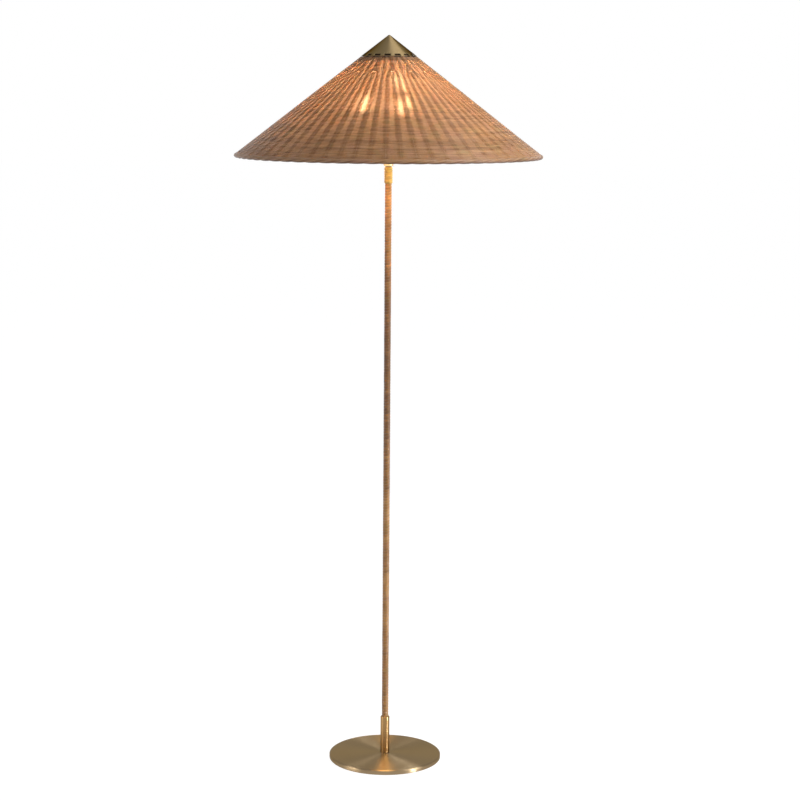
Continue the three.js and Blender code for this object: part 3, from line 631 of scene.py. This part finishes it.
def make_stem():
    """The rattan over the stem, the thicker strip over its top, and the washer above them."""
    low, high, reach = measure("rattan_wrap")
    inner = STEM_BORE
    thick, width, pitch = reach - inner - 0.0001, 0.0059, 0.0060
    wrap = strip_winding("rattan_winding", inner, thick, width, pitch, low, high, 9.0, 3)
    dress(wrap, RATTAN, "stand", "rattan", "rattan_wrap")
    low, high, _ = measure("top_binding")
    inner, thick, width, pitch = reach + FIT, 0.0011, 0.0044, 0.0048
    binding = strip_winding("rattan_binding", inner, thick, width, pitch, low, high, 30.0, 4)
    dress(binding, BINDING, "stand", "rattan", "top_binding")
    low, high, reach = measure("neck_washer")
    high = high + NECK_RISE
    washer = eased([
        (STEM_BORE, low, 0.0003), (reach, low, 0.0012), (reach, high, 0.0006),
        (STEM_BORE, high, 0.0003),
    ], 5)
    dress(revolve("neck_ring", washer, 64), PALE_LIT_RING_BRASS, "stand", "brass", "neck_washer")


# ---- Hub, arms and lamp holders ----

BRANCHES = (1, 2, 3)
ARM_TURN = math.radians(46.5)
ARM_START = 0.0155
ARM_REACH = 0.0547
ARM_RADIUS = 0.005
ARM_BEND = 0.015


def branch_place(number):
    """The angle of branch 1, 2 or 3 round the lamp, and where its holder's axis is."""
    turn = ARM_TURN + (number - 1) * TURN / 3
    return turn, ARM_REACH * math.cos(turn), ARM_REACH * math.sin(turn)


def fitting(piece, *nodes):
    """Dresses a piece of the stand in the fittings' brass."""
    return dress(piece, FITTING_BRASS, "stand", "brass", *nodes)


def knurl(radius, height, angle):
    """The grip of the nut as a cosine wave of its radius: 36 ridges, on its outside alone."""
    outer = smooth((radius - 0.006) / 0.002)
    return radius - outer * 0.00035 * (1 - np.cos(36 * angle)) / 2


def make_hub():
    """The hub's cup and lid, the rod for the shade and its nut."""
    low, high, reach = measure("arm_hub")
    low = low + NECK_RISE
    bore, ground = reach - 0.0018, low + 0.003
    cup = eased([
        (STEM_BORE, low, 0.0003), (reach, low, 0.0030), (reach, high, 0.0004),
        (bore, high, 0.0003), (bore, ground), (STEM_BORE, ground),
    ], 8)
    fitting(revolve("hub_cup", cup, 96), "arm_hub")
    low, high, _ = measure("hub_lid")
    under, deck, lip, boss = low + 0.002, low + 0.0045, reach - 0.0021, 0.008
    lid = eased([
        (ROD_BORE, under), (reach - 0.0036, under), (reach - 0.0036, low), (lip, low),
        (lip, under), (reach, under, 0.0003), (reach, deck, 0.0012), (boss, deck, 0.0015),
        (boss, high, 0.0008), (ROD_BORE, high, 0.0003),
    ], 6)
    fitting(revolve("hub_cover", lid, 96), "hub_lid")
    low, high, reach = measure("shade_rod")
    rod = eased([(0, low), (reach, low, 0.0004), (reach, high, 0.0006), (0, high)], 4)
    fitting(revolve("brass_rod", rod, 48), "shade_rod")
    low, high, reach = measure("seat_nut")
    ease = 0.0008
    nut = eased([(ROD_BORE, low), (reach, low, ease), (reach, high, ease), (ROD_BORE, high)], 5)
    fitting(revolve("knurled_nut", nut, 288, wave=knurl), "seat_nut")
    refinish(FITTING_BRASS, "carrier_plate", "cap_boss")
    refinish(STEEL, "hub_nut", "rod_nut")
    refinish(SLOT_SHADE_STEEL, "top_ring")
    refinish(PORCELAIN, "terminal_block")


def arm_path(inner, top, level, bend, turn):
    """Out from the hub, round a quarter circle and up, in the upright plane at angle turn."""
    angle = np.linspace(0, math.pi / 2, 14)
    start = ARM_REACH - bend
    out = np.concatenate([
        [inner, (inner + start) / 2], start + bend * np.sin(angle), [ARM_REACH]])
    up = np.concatenate([[level, level], level + bend * (1 - np.cos(angle)), [top]])
    return polar(out, turn, up)


def screw_wave(root, crest, pitch, low, high):
    """A helical thread as a wave of the radius: between root and crest with height over pitch
    plus angle, faded at both ends."""
    def wave(radius, height, angle):
        inside = smooth((height - low) / 0.0015) * smooth((high - height) / 0.0015)
        outer = radius > root - 0.0004
        swell = (1 + np.cos(TURN * height / pitch - angle)) / 2
        return np.where(outer, radius - inside * (crest - root) * (1 - swell), radius)
    return wave


def make_arm(number, turn):
    """A bent brass bar: a circle carried along the arm's path, up to its lamp holder."""
    low, high, _ = measure(f"lamp_arm_{number}")
    across = (-math.sin(turn), math.cos(turn), 0)
    path = arm_path(ARM_START, high, low + ARM_RADIUS, ARM_BEND, turn)
    fitting(round_bar(f"bent_arm_{number}", path, across, ARM_RADIUS, 28), f"lamp_arm_{number}")


def make_holder(number, x, y):
    """A lamp holder: a bell that flares as a quarter ellipse, a sleeve with a lip at its top,
    and a porcelain cup in it."""
    low, high, _ = measure(f"holder_bell_{number}")
    share = np.linspace(0, math.pi / 2, 12)
    neck, start, inside = 0.008, low + 0.005, low + 0.0062
    outer_flare, inner_flare = 0.0115, 0.0103

    def flare(reach, bottom):
        """A quarter ellipse from the neck at bottom, out by reach and up to high."""
        out, up = neck + reach * np.sin(share), bottom + (high - bottom) * (1 - np.cos(share))
        return join(out, up)
    foot = [[STEM_BORE, low], [neck - 0.0002, low], [neck, low + 0.0002]]
    inner = flare(inner_flare, inside)[::-1]
    bell = np.concatenate([foot, flare(outer_flare, start), inner, [[STEM_BORE, inside]]])
    fitting(revolve(f"bell_cup_{number}", bell, 72, (x, y, 0)), f"holder_bell_{number}")

    base, high, _ = measure(f"holder_shell_{number}")
    bore, reach, lip = 0.0183, 0.0195, 0.0203
    shell = eased([
        (bore, base), (reach, base, 0.0002), (reach, high - 0.002, 0.0004),
        (lip, high - 0.002, 0.0003), (lip, high, 0.0005), (bore, high, 0.0003),
    ], 5)
    fitting(revolve(f"shell_sleeve_{number}", shell, 72, (x, y, 0)), f"holder_shell_{number}")

    low, high, _ = measure(f"holder_insert_{number}")
    tail, reach, socket, ground = 0.0159, 0.018, 0.0135, low + 0.008
    insert = eased([
        (0, low), (tail, low, 0.0003), (reach, base, 0.0003), (reach, high, 0.0009),
        (socket, high, 0.0009), (socket, ground, 0.0004), (0, ground),
    ], 5)
    piece = revolve(f"porcelain_insert_{number}", insert, 72, (x, y, 0))
    dress(piece, PORCELAIN, "stand", "porcelain", f"holder_insert_{number}")
    refinish(NICKEL, f"centre_contact_{number}")
    refinish(SLEEVE, f"arm_lead_{number}")


def make_bulb(number, x, y):
    """A bulb: a screw cap with a real thread, the filament, and a thin glass. The glass swells
    from its neck by a power of a sine, ends in a quarter circle, and has its wall inwards
    along its normal."""
    body, base = f"bulb_{number}", measure(f"bulb_cap_{number}")[0]
    root, crest, pitch, cup, floor, top = 0.0123, 0.0132, 0.00363, 0.0118, 0.021, 0.027
    fine = np.linspace(0.0085, 0.0265, 56)
    cap = np.concatenate([
        [[0, 0]],
        eased([(0.0001, 0), (0.0045, 0, 0.0012), (0.0045, 0.0025, 0.0003)], 5),
        eased([(root, 0.0055, 0.0004), (crest, 0.0085)], 3),
        join(crest, fine),
        eased([(crest, top, 0.0003), (cup, top, 0.0003), (cup, floor)], 3),
        [[0, floor]],
    ])
    thread = screw_wave(root, crest, pitch, 0.009, 0.024)
    piece = revolve(f"screw_cap_{number}", cap, 72, (x, y, base), 50, thread)
    dress(piece, NICKEL, body, "nickel", f"bulb_cap_{number}")

    neck, neck_low, swell_low, ball, thin = 0.0115, 0.0213, 0.0333, 0.030, 0.0007
    glass_top = 0.107
    globe = glass_top - ball
    t = np.linspace(0, 1, 20)
    swell = neck + (ball - neck) * np.sin(math.pi / 2 * t) ** 1.6
    side = join(swell, swell_low + (globe - swell_low) * t)
    a = np.linspace(0, math.pi / 2, 18)
    dome = join(ball * np.cos(a), globe + ball * np.sin(a))
    outer = np.concatenate([[[neck, neck_low]], side, dome[1:-1]])
    normal = np.gradient(outer, axis=0)
    normal = unit(join(normal[:, 1], -normal[:, 0]))
    inner = outer - thin * normal
    inner[0] = [neck - thin, neck_low]
    wall = np.concatenate([[[0, globe + ball - thin]], inner[::-1], outer, [[0, globe + ball]]])
    piece = revolve(f"glass_bulb_{number}", wall, 72, (x, y, base), 60)
    dress(piece, GLASS, body, "clear_glass", f"bulb_glass_{number}")
    make_filament(number, np.array([x, y, base]))


def make_filament(number, place):
    """A slim mount, and a glowing wire that runs up and down between two heights as a zigzag
    over the angle."""
    body, stem, pinch, tip = f"bulb_{number}", 0.0213, 0.036, 0.074
    wire_low, wire_high = 0.043, 0.082
    mount = eased([
        (0, stem), (0.0042, stem, 0.001), (0.0016, pinch, 0.004), (0.0012, tip, 0.0008),
        (0, tip),
    ], 6)
    piece = revolve(f"filament_mount_{number}", mount, 24, place)
    dress(piece, NICKEL, body, "nickel")
    corners, around, thick, reach, bends = 8, 97, 0.0008, 0.0075, 8
    t = np.linspace(0, 1, around)
    turn = t * TURN * 0.97
    zigzag = smooth(np.abs((t * bends + 0.5) % 2 - 1))
    path = polar(reach, turn, wire_low + (wire_high - wire_low) * zigzag) + place
    tangent = unit(np.gradient(path, axis=0))
    side = unit(np.cross(tangent, polar(1, turn, 0)))
    up = np.cross(side, tangent)
    piece = tube(f"filament_cage_{number}", path, side, up, thick, corners, 60)
    dress(piece, GLOW, body, "glow", f"bulb_filament_{number}")


def make_branch(number):
    """One arm with its lamp holder and its bulb."""
    turn, x, y = branch_place(number)
    make_arm(number, turn)
    make_holder(number, x, y)
    make_bulb(number, x, y)


# ---- Shade ----

# Lengths down the slope from the point where the cone's outer faces would meet
WEAVE_TOP = 0.0722
WEAVE_END = 0.3895
WEAVE_LAST = 0.3975
PAIR_CLOSE = 0.104
PAIR_OPEN = 0.134
ADDED_TOP = 0.121

GROUPS = 16
STAKES = 4 * GROUPS
STAKE_TURN = math.radians(4.7)
STAKE_TOP, STAKE_LOW, STAKE_FULL = 0.00140, 0.00160, 0.26
STAKE_THIN = 0.6
STAKE_PLACES, STAKE_CORNERS = 74, 8

ROW_PITCH = 0.0020
WEAVER_WIDE = 0.0024
WEAVER_THICK = 0.0023
WEAVE_DEEP = 0.0031
SPOT_LONG = 0.050
KNOTS = 80
ROD_LONG = 0.75

# By length down: the stakes' lean in degrees, their share of their own thickness, how far the
# weavers swing round them, how much wider a weaver is on a stake, how much darker it is painted
# there as the stake's shade, and the share of light that passes through a weaver
STAKE_LEAN = ([0.085, 0.110, 0.135, 0.300, 0.340], [1.0, 0.8, 0.1, 0.1, 0.2])
STAKE_SHARE = ([0.15, 0.28], [1.0, 0.68])
PRESS = ([0.14, 0.20, 0.27, 0.36], [0.66, 0.56, 0.38, 0.20])
CREST = ([0.18, 0.30], [0.16, 0.42])
STAKE_SHADE_PAINT = ([0.09, 0.13], [0.04, 0.0])
THIN = ([0.085, 0.11, 0.15, 0.20, 0.26, 0.32, 0.39], [0.36, 0.40, 0.48, 0.48, 0.41, 0.31, 0.20])


def stake_radius(down):
    """The stakes grow thicker in a straight line from the cap down to STAKE_FULL."""
    share = np.clip((down - WEAVE_TOP) / (STAKE_FULL - WEAVE_TOP), 0, 1)
    return STAKE_TOP + (STAKE_LOW - STAKE_TOP) * share


def stake_turns(down):
    """Angles of the stakes at each length down the slope, as (length, stake). Each group holds
    the left stake of a pair, the one added between the two, the right one and a lone one. The
    two of a pair touch at the cap and part smoothly until all are evenly spread."""
    def closed(down):
        """Half the angle between two stakes that touch: a little over radius by distance."""
        return 1.05 * stake_radius(down) / (down * COS)
    start, opened = closed(PAIR_CLOSE), TURN / STAKES
    share = smooth((down - PAIR_CLOSE) / (PAIR_OPEN - PAIR_CLOSE))
    half = np.where(down < PAIR_CLOSE, closed(down), start + (opened - start) * share)
    lean = np.radians(np.interp(down, *STAKE_LEAN))
    middle = STAKE_TURN + lean[:, None] + np.arange(GROUPS) * TURN / GROUPS
    lone = middle + TURN / GROUPS / 2
    left, right = middle - half[:, None], middle + half[:, None]
    turns = np.stack([left, middle, right, lone], -1)
    return turns.reshape(len(down), STAKES)


def weaver_tones(down, turn, draw):
    """The tone of each place of the weavers: one for each rod that a row is made of, and knots
    every SPOT_LONG with an eased course between them."""
    rows, radius = len(down), (down * COS)[:, None]
    rods = np.maximum(2, np.round(TURN * radius / ROD_LONG)).astype(int)
    start = draw.uniform(0, 1, rows)
    rod = np.floor((turn / TURN + start[:, None]) * rods).astype(int) % rods
    tone = np.take_along_axis(draw.normal(0.5, 0.08, (rows, rods.max())), rod, 1)
    knots = draw.normal(0, 0.09, (rows, KNOTS))
    place = turn * radius / SPOT_LONG
    knot, between = place.astype(int), smooth(place % 1)
    near = np.take_along_axis(knots, knot % KNOTS, 1)
    far = np.take_along_axis(knots, (knot + 1) % KNOTS, 1)
    return tone + near + (far - near) * between


def weaver_rows(numbers, draw):
    """Rings of weavers, as (row, place, corner, 3), with an oval section. Each passes over one
    stake and under the next, near the cap over a pair and under a lone stake, and the next row
    does the opposite. Its swing is a half cosine between two stakes, times its own size, so
    that it bends sharply at the stakes and runs flat between them. Each row wanders by a sum
    of five cosines."""
    samples, corners, rows = 5, 6, len(numbers)
    down = WEAVE_TOP + WEAVER_WIDE / 2 + ROW_PITCH * numbers
    turns = stake_turns(down)
    stake = np.arange(STAKES)
    over = (-1.0) ** (stake[None] + numbers[:, None])
    no_stake = (stake[None] % 4 == 1) & (down[:, None] < ADDED_TOP)
    over = np.where(no_stake, -over, over)
    over = over * draw.uniform(0.95, 1.04, over.shape)
    next_turn = np.concatenate([turns[:, 1:], turns[:, :1] + TURN], 1)
    next_over = np.roll(over, -1, 1)
    t = np.arange(samples) / samples

    def between(here, there, share):
        """From here to there by shares of the way, as one row of places."""
        return (here[..., None] + (there - here)[..., None] * share).reshape(rows, -1)
    turn = between(turns, next_turn, t)
    swing = between(over, next_over, (1 - np.cos(math.pi * t)) / 2)
    size = np.abs(swing)
    reach = (stake_radius(down) + WEAVER_THICK / 2) * np.interp(down, *PRESS)
    rise = swing * size * reach[:, None]
    waves = np.arange(1, 6)
    phase = draw.uniform(0, TURN, (rows, 5))
    wander = (np.cos(turn[..., None] * waves * 3 + phase[:, None]) / waves).sum(-1) * 0.00005
    thick = 1 + 0.05 * np.cos(turn * 2 + phase[:, :1]) + 0.03 * np.cos(turn * 7 + phase[:, 1:2])
    wide = thick * (1 + np.interp(down, *CREST)[:, None] * size)
    a = circle(corners)
    across = np.cos(a) * WEAVER_WIDE / 2
    proud = np.sin(a) * WEAVER_THICK / 2
    line = (down[:, None] + wander)[..., None] + across * wide[..., None]
    deep = WEAVE_DEEP - rise[..., None] - proud * thick[..., None]
    rings = on_cone(line, deep, turn[..., None])
    tone = weaver_tones(down, turn, draw)
    # Painted shade: weavers are darker where they wrap a stake near the cap, as the stake's shadow
    tone = tone - np.interp(down, *STAKE_SHADE_PAINT)[:, None] * np.minimum(1, size) ** 6
    run = turn * (down * COS)[:, None] + 0.37 * numbers[:, None]
    along = join(run[..., None], np.sin(a) * 2.0)
    layers = {"tone": tone[..., None], "thin": np.interp(down, *THIN)[:, None, None]}
    return rings, layers, along


def make_weave():
    """The weavers, in four bands that share one set of draws, and the stakes: round rods that
    follow the cone. The one added in a pair starts lower down."""
    count = int((WEAVE_LAST - WEAVE_TOP - WEAVER_WIDE) / ROW_PITCH) + 1
    numbers = np.arange(count)
    draw = np.random.default_rng(21)
    for name, rows in zip(("top", "upper", "lower", "bottom"), np.array_split(numbers, 4)):
        rings, layers, along = weaver_rows(rows, draw)
        piece = skins(f"weavers_{name}", rings, None, None, layers, along)
        dress(piece, WILLOW, "shade", "willow", "shade_weave")
    stake = np.arange(STAKES)
    top = np.where(stake % 4 == 1, ADDED_TOP + 0.001, WEAVE_TOP + 0.0004)
    down = top[:, None] + (WEAVE_END - top)[:, None] * np.linspace(0, 1, STAKE_PLACES)
    turns = np.stack([stake_turns(line)[:, number] for number, line in enumerate(down)])
    a = circle(STAKE_CORNERS)
    line = down[..., None]
    share = np.where(stake % 2 == 0, 1.02, 0.92)[:, None] * np.interp(down, *STAKE_SHARE)
    rod = (stake_radius(down) * share)[..., None]
    deep = WEAVE_DEEP + rod * np.sin(a)
    rings = on_cone(line, deep, turns[..., None] + rod * np.cos(a) / (line * COS))
    poles = on_cone(down[:, [0, -1]], WEAVE_DEEP, turns[:, [0, -1]])
    layers = {"tone": draw.normal(0.5, 0.14, STAKES)[:, None, None], "thin": STAKE_THIN}
    piece = skins("weave_stakes", rings, poles, 50, layers, join(line, np.cos(a) * 2.0))
    dress(piece, STAKE, "shade", "willow", "shade_weave")


def make_border():
    """The border: four thick rods laid round the lower edge and twisted about each other, each
    a round section carried along a helix bent into a ring. Painted shade makes them darker
    underneath and where a strand runs low, and lighter where it runs on top."""
    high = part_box("rim_border")[1]
    strands, twists, steps, corners = 4, 16, 768, 12
    rod, half = 0.0022, 0.0045
    reach = half - rod
    middle_r, middle_z = high.x - half, high.z - half - 0.0008
    turn = circle(steps)
    phase = np.arange(strands)[:, None] * TURN / strands + twists * turn[None]
    a = circle(corners)
    out = middle_r + reach * np.cos(phase)[..., None] + rod * np.cos(a)
    up = middle_z + reach * np.sin(phase)[..., None] + rod * np.sin(a)
    around = turn[None, :, None]
    rings = polar(out, around, up)
    draw = np.random.default_rng(8)
    tone = np.interp(turn, np.linspace(0, TURN, 13), np.append(draw.normal(0.5, 0.16, 12), 0.5))
    tone = tone[None, :, None] + draw.normal(0, 0.08, (strands, 1, 1))
    # Painted light and shade: a strand is lighter where it runs on top and darker where it runs low
    tone = tone + 0.35 * np.sin(phase)[..., None]
    # Painted shade: darker underneath
    tone = tone + np.interp(up - middle_z, [-half, -rod, half], [-0.6, 0, 0.1])
    along = join(around * middle_r, np.sin(a) * 2.0)
    piece = skins("twisted_border", rings, None, None, {"tone": tone}, along)
    dress(piece, BORDER, "shade", "willow", "rim_border")


# ---- Cap ----

CAP_SLANT = 0.0716
CAP_WALL = 0.0012
SLOTS = 16
SLOT_WIDE = 0.013
SLOT_LIP = 0.0011
SLOT_TALL = 0.0060
SLOT_SHIFT = -0.15


def make_cap():
    """The cap: a cone with a ball-like tip, on a grid of angle and length down the slope. The
    grid's lines run along the slots' edges, the faces in the slots are left out, and the wall
    is thickened inwards."""
    slot_top, slot_low = CAP_SLANT - SLOT_LIP - SLOT_TALL, CAP_SLANT - SLOT_LIP
    half = SLOT_WIDE / 2 / (COS * (slot_top + slot_low) / 2)
    step, slot_faces = TURN / SLOTS, 8
    open_part = np.linspace(-half, half, slot_faces + 1)
    within = np.concatenate([open_part, np.linspace(half, step - half, 5)[1:-1]])
    turn = ((np.arange(SLOTS)[:, None] + SLOT_SHIFT) * step + within[None] - math.pi / 2).ravel()
    down = np.concatenate([
        np.linspace(0.004, slot_top, 14), np.linspace(slot_top, slot_low, 5)[1:],
        np.linspace(slot_low, CAP_SLANT - 0.0002, 3)[1:],
    ])
    ball = np.linspace(0, SLOPE, 6)[1:-1]
    radius = np.concatenate([TIP * np.sin(ball), down * COS])
    height = np.concatenate([HEIGHT - TIP + TIP * np.cos(ball), APEX - down * SIN])
    rows, columns = len(radius), len(turn)
    rings = polar(radius[:, None], turn, height[:, None])
    points = np.concatenate([rings.reshape(-1, 3), [[0, 0, HEIGHT]]])
    quads = grid_quads(1, rows, columns, False)
    row, column = np.divmod(quads[:, 0], columns)
    mid = (height[row] + height[np.minimum(row + 1, rows - 1)]) / 2
    in_band = (mid < APEX - slot_top * SIN) & (mid > APEX - slot_low * SIN)
    in_slot = column % len(within) < slot_faces
    quads = quads[~(in_band & in_slot)]
    j = np.arange(columns)
    tris = np.stack([np.full(columns, rows * columns), (j + 1) % columns, j], -1)
    piece = open_skin("pierced_cap", points, quads, tris, 40)
    wall = piece.modifiers.new("wall", "SOLIDIFY")
    wall.thickness, wall.offset, wall.use_even_offset = CAP_WALL, -1, True
    edge = piece.modifiers.new("edge", "BEVEL")
    edge.width, edge.segments = 0.0003, 2
    edge.limit_method, edge.angle_limit = "ANGLE", math.radians(50)
    dress(piece, CAP_BRASS, "cap", "brass", "cap_cone")


# ---- Room and light ----

ROOM_LEVEL = 0.25
SIDES_DIM = 0.45
CEILING_DIM = 0.65
COOL_WHITE = (0.96, 0.98, 1.0, 1)


def make_floor():
    """The floor: pale paint for the light that falls on the lamp, and white for the camera and
    for mirrors, with a share of paint left in it that keeps the lamp's shadow."""
    size = 30.0
    corners = [(-size, -size, 0), (size, -size, 0), (size, size, 0), (-size, size, 0)]
    mesh = bpy.data.meshes.new("floor")
    mesh.from_pydata(corners, [], [(0, 1, 2, 3)])
    floor = bpy.data.objects.new("floor", mesh)
    bpy.context.scene.collection.objects.link(floor)
    f = Finish("floor_paint")
    paint = f.principled(Base_Color=(0.75, 0.75, 0.75, 1), Roughness=0.9)
    shadow = f.principled(Base_Color=(0.16, 0.16, 0.16, 1), Roughness=1.0, Specular_IOR_Level=0.0)
    white = f.put("Emission", Color=(1, 1, 1, 1), Strength=0.96)
    bright = f.put("AddShader", i0=white.outputs[0], i1=shadow.outputs[0])
    camera, mirrored = f.rays()
    seen = f.maths("MAXIMUM", camera, mirrored)
    mesh.materials.append(f.done(f.blend(seen, paint, bright)))


def make_world():
    """A pale studio. The camera sees white. Metal and glass see white too near the horizon, and
    a dimmer ceiling and sides. The rest is lit at one soft level."""
    f = Finish("room", world=True)
    camera, mirrored = f.rays()
    parts = f.put("SeparateXYZ", i0=f.put("TexCoord").outputs["Generated"]).outputs
    eased_span = {"interpolation_type": "SMOOTHSTEP"}
    aside = f.maths("ABSOLUTE", parts[0])
    aside = f.put("MapRange", eased_span, i0=aside, i1=0.30, i2=0.85, i3=1.0, i4=SIDES_DIM)
    above = f.put("MapRange", eased_span, i0=parts[2], i1=0.35, i2=0.90, i3=1.0, i4=CEILING_DIM)
    dim = f.maths("MULTIPLY", aside.outputs[0], above.outputs[0])
    room = f.put("Background", Color=COOL_WHITE, Strength=dim)
    soft = f.put("Background", Color=COOL_WHITE, Strength=ROOM_LEVEL)
    white = f.put("Background", Color=(1, 1, 1, 1), Strength=1.0)
    lit = f.blend(mirrored, soft, room)
    bpy.context.scene.world = f.done(f.blend(camera, lit, white))


def add_light(name, data, place, power, colour):
    """Links a lamp that the camera doesn't see."""
    data.energy, data.color = power, colour
    light = bpy.data.objects.new(name, data)
    light.location = place
    light.visible_camera = False
    bpy.context.scene.collection.objects.link(light)
    return light


def area_light(name, place, aim, size, power, colour=(1, 1, 1), spread=None):
    """A rectangle of light that faces its aim. spread narrows it, in degrees."""
    data = bpy.data.lights.new(name, "AREA")
    data.shape, data.size, data.size_y = "RECTANGLE", size[0], size[1]
    if spread is not None:
        data.spread = math.radians(spread)
    light = add_light(name, data, place, power, colour)
    light.rotation_mode = "QUATERNION"
    light.rotation_quaternion = (Vector(aim) - Vector(place)).to_track_quat("-Z", "Y")
    return light


BULB_POWER = 4.9
BULB_COLOUR = (1.0, 0.90, 0.74)
BULB_HEIGHT = 1.398
BULB_GLOW = 0.027
GLOW_DOWN = 0.58
DOWN_COLOUR = (0.92, 0.94, 0.44)
GLOW_UP = 3.0
GLOW_FOOT = 4.6
FOOT_COLOUR = (1.0, 0.64, 0.20)
# Bright places on the weave: angle, length down from and to, width, depth behind it, power
GLARES = [
    (-105.4, 0.202, 0.247, 0.011, 0.0115, 0.72),
    (-83.9, 0.218, 0.256, 0.009, 0.0115, 0.60),
    (-78.2, 0.206, 0.233, 0.009, 0.0115, 0.44),
    (-77.5, 0.120, 0.178, 0.008, 0.0115, 0.05),
    (-83.6, 0.143, 0.169, 0.006, 0.0115, 0.02),
    (-52.0, 0.120, 0.200, 0.090, 0.0500, 0.12),
]
GLARE_COLOUR = (0.90, 0.96, 1.0)


def make_room_lights():
    """Soft boxes at the right, left and top. The strip and the low fill show in the brass
    alone, and the side light lifts the shade's right without a gloss."""
    area_light("key", (2.9, -1.35, 1.9), (0, 0, 0.9), (1.9, 2.4), 84)
    strip = area_light("strip", (1.9, -1.12, 0.2), (0, 0, 0.1), (0.22, 0.5), 1.9,
                       (0.88, 0.96, 1.0), 36)
    low = area_light("low_fill", (-2.6, -0.9, 0.9), (0, 0, 0), (2.0, 0.8), 3.5, spread=45)
    strip.visible_diffuse = low.visible_diffuse = False
    area_light("fill", (-3.3, -1.4, 1.4), (0, 0, 0.8), (1.6, 2.4), 15, (1.0, 0.88, 0.68))
    area_light("top", (0.66, 0.48, 3.4), (0, 0, 1.4), (1.2, 1.2), 9)
    side = area_light("side", (2.3, -0.5, 2.5), (0.14, -0.06, 1.42), (0.7, 0.7), 30,
                      (0.86, 0.97, 1.0))
    side.visible_glossy = False


def make_lamp_lights():
    """What the bulbs give. Soft lights for the light that goes back and forth inside the shade:
    down on the stem, up through the weave, and down as a gloss on the foot alone. Small ones
    close behind the weave for its bright places. A warm lamp in each bulb."""
    area_light("glow_down", (0.11, 0, 1.302), (0.11, 0, 0), (0.22, 0.32), GLOW_DOWN, DOWN_COLOUR)
    area_light("glow_up", (0, 0, 1.272), (0, 0, 2), (0.42, 0.42), GLOW_UP, BULB_COLOUR)
    foot = area_light("glow_foot", (0, 0, 1.303), (0, 0, 0), (0.36, 0.36), GLOW_FOOT, FOOT_COLOUR)
    foot.visible_diffuse = False
    for number, (degrees, start, end, wide, deep, power) in enumerate(GLARES):
        turn, down = math.radians(degrees), (start + end) / 2
        place, aim = on_cone(down, deep, turn).tolist(), on_cone(down, -0.1, turn).tolist()
        size = (wide, end - start)
        glare = area_light(f"glare_{number + 1}", place, aim, size, power, GLARE_COLOUR)
        glare.visible_glossy = False
    for number in BRANCHES:
        x, y = branch_place(number)[1:]
        data = bpy.data.lights.new(f"bulb_light_{number}", "POINT")
        data.shadow_soft_size = BULB_GLOW
        place = (x, y, BULB_HEIGHT)
        light = add_light(f"bulb_light_{number}", data, place, BULB_POWER, BULB_COLOUR)
        light.visible_transmission = False


make_camera()
make_foot()
make_collar()
make_stem()
make_hub()
for number in BRANCHES:
    make_branch(number)
make_weave()
make_border()
make_cap()
make_floor()
make_world()
make_room_lights()
make_lamp_lights()
bpy.context.scene.view_settings.view_transform = "Standard"
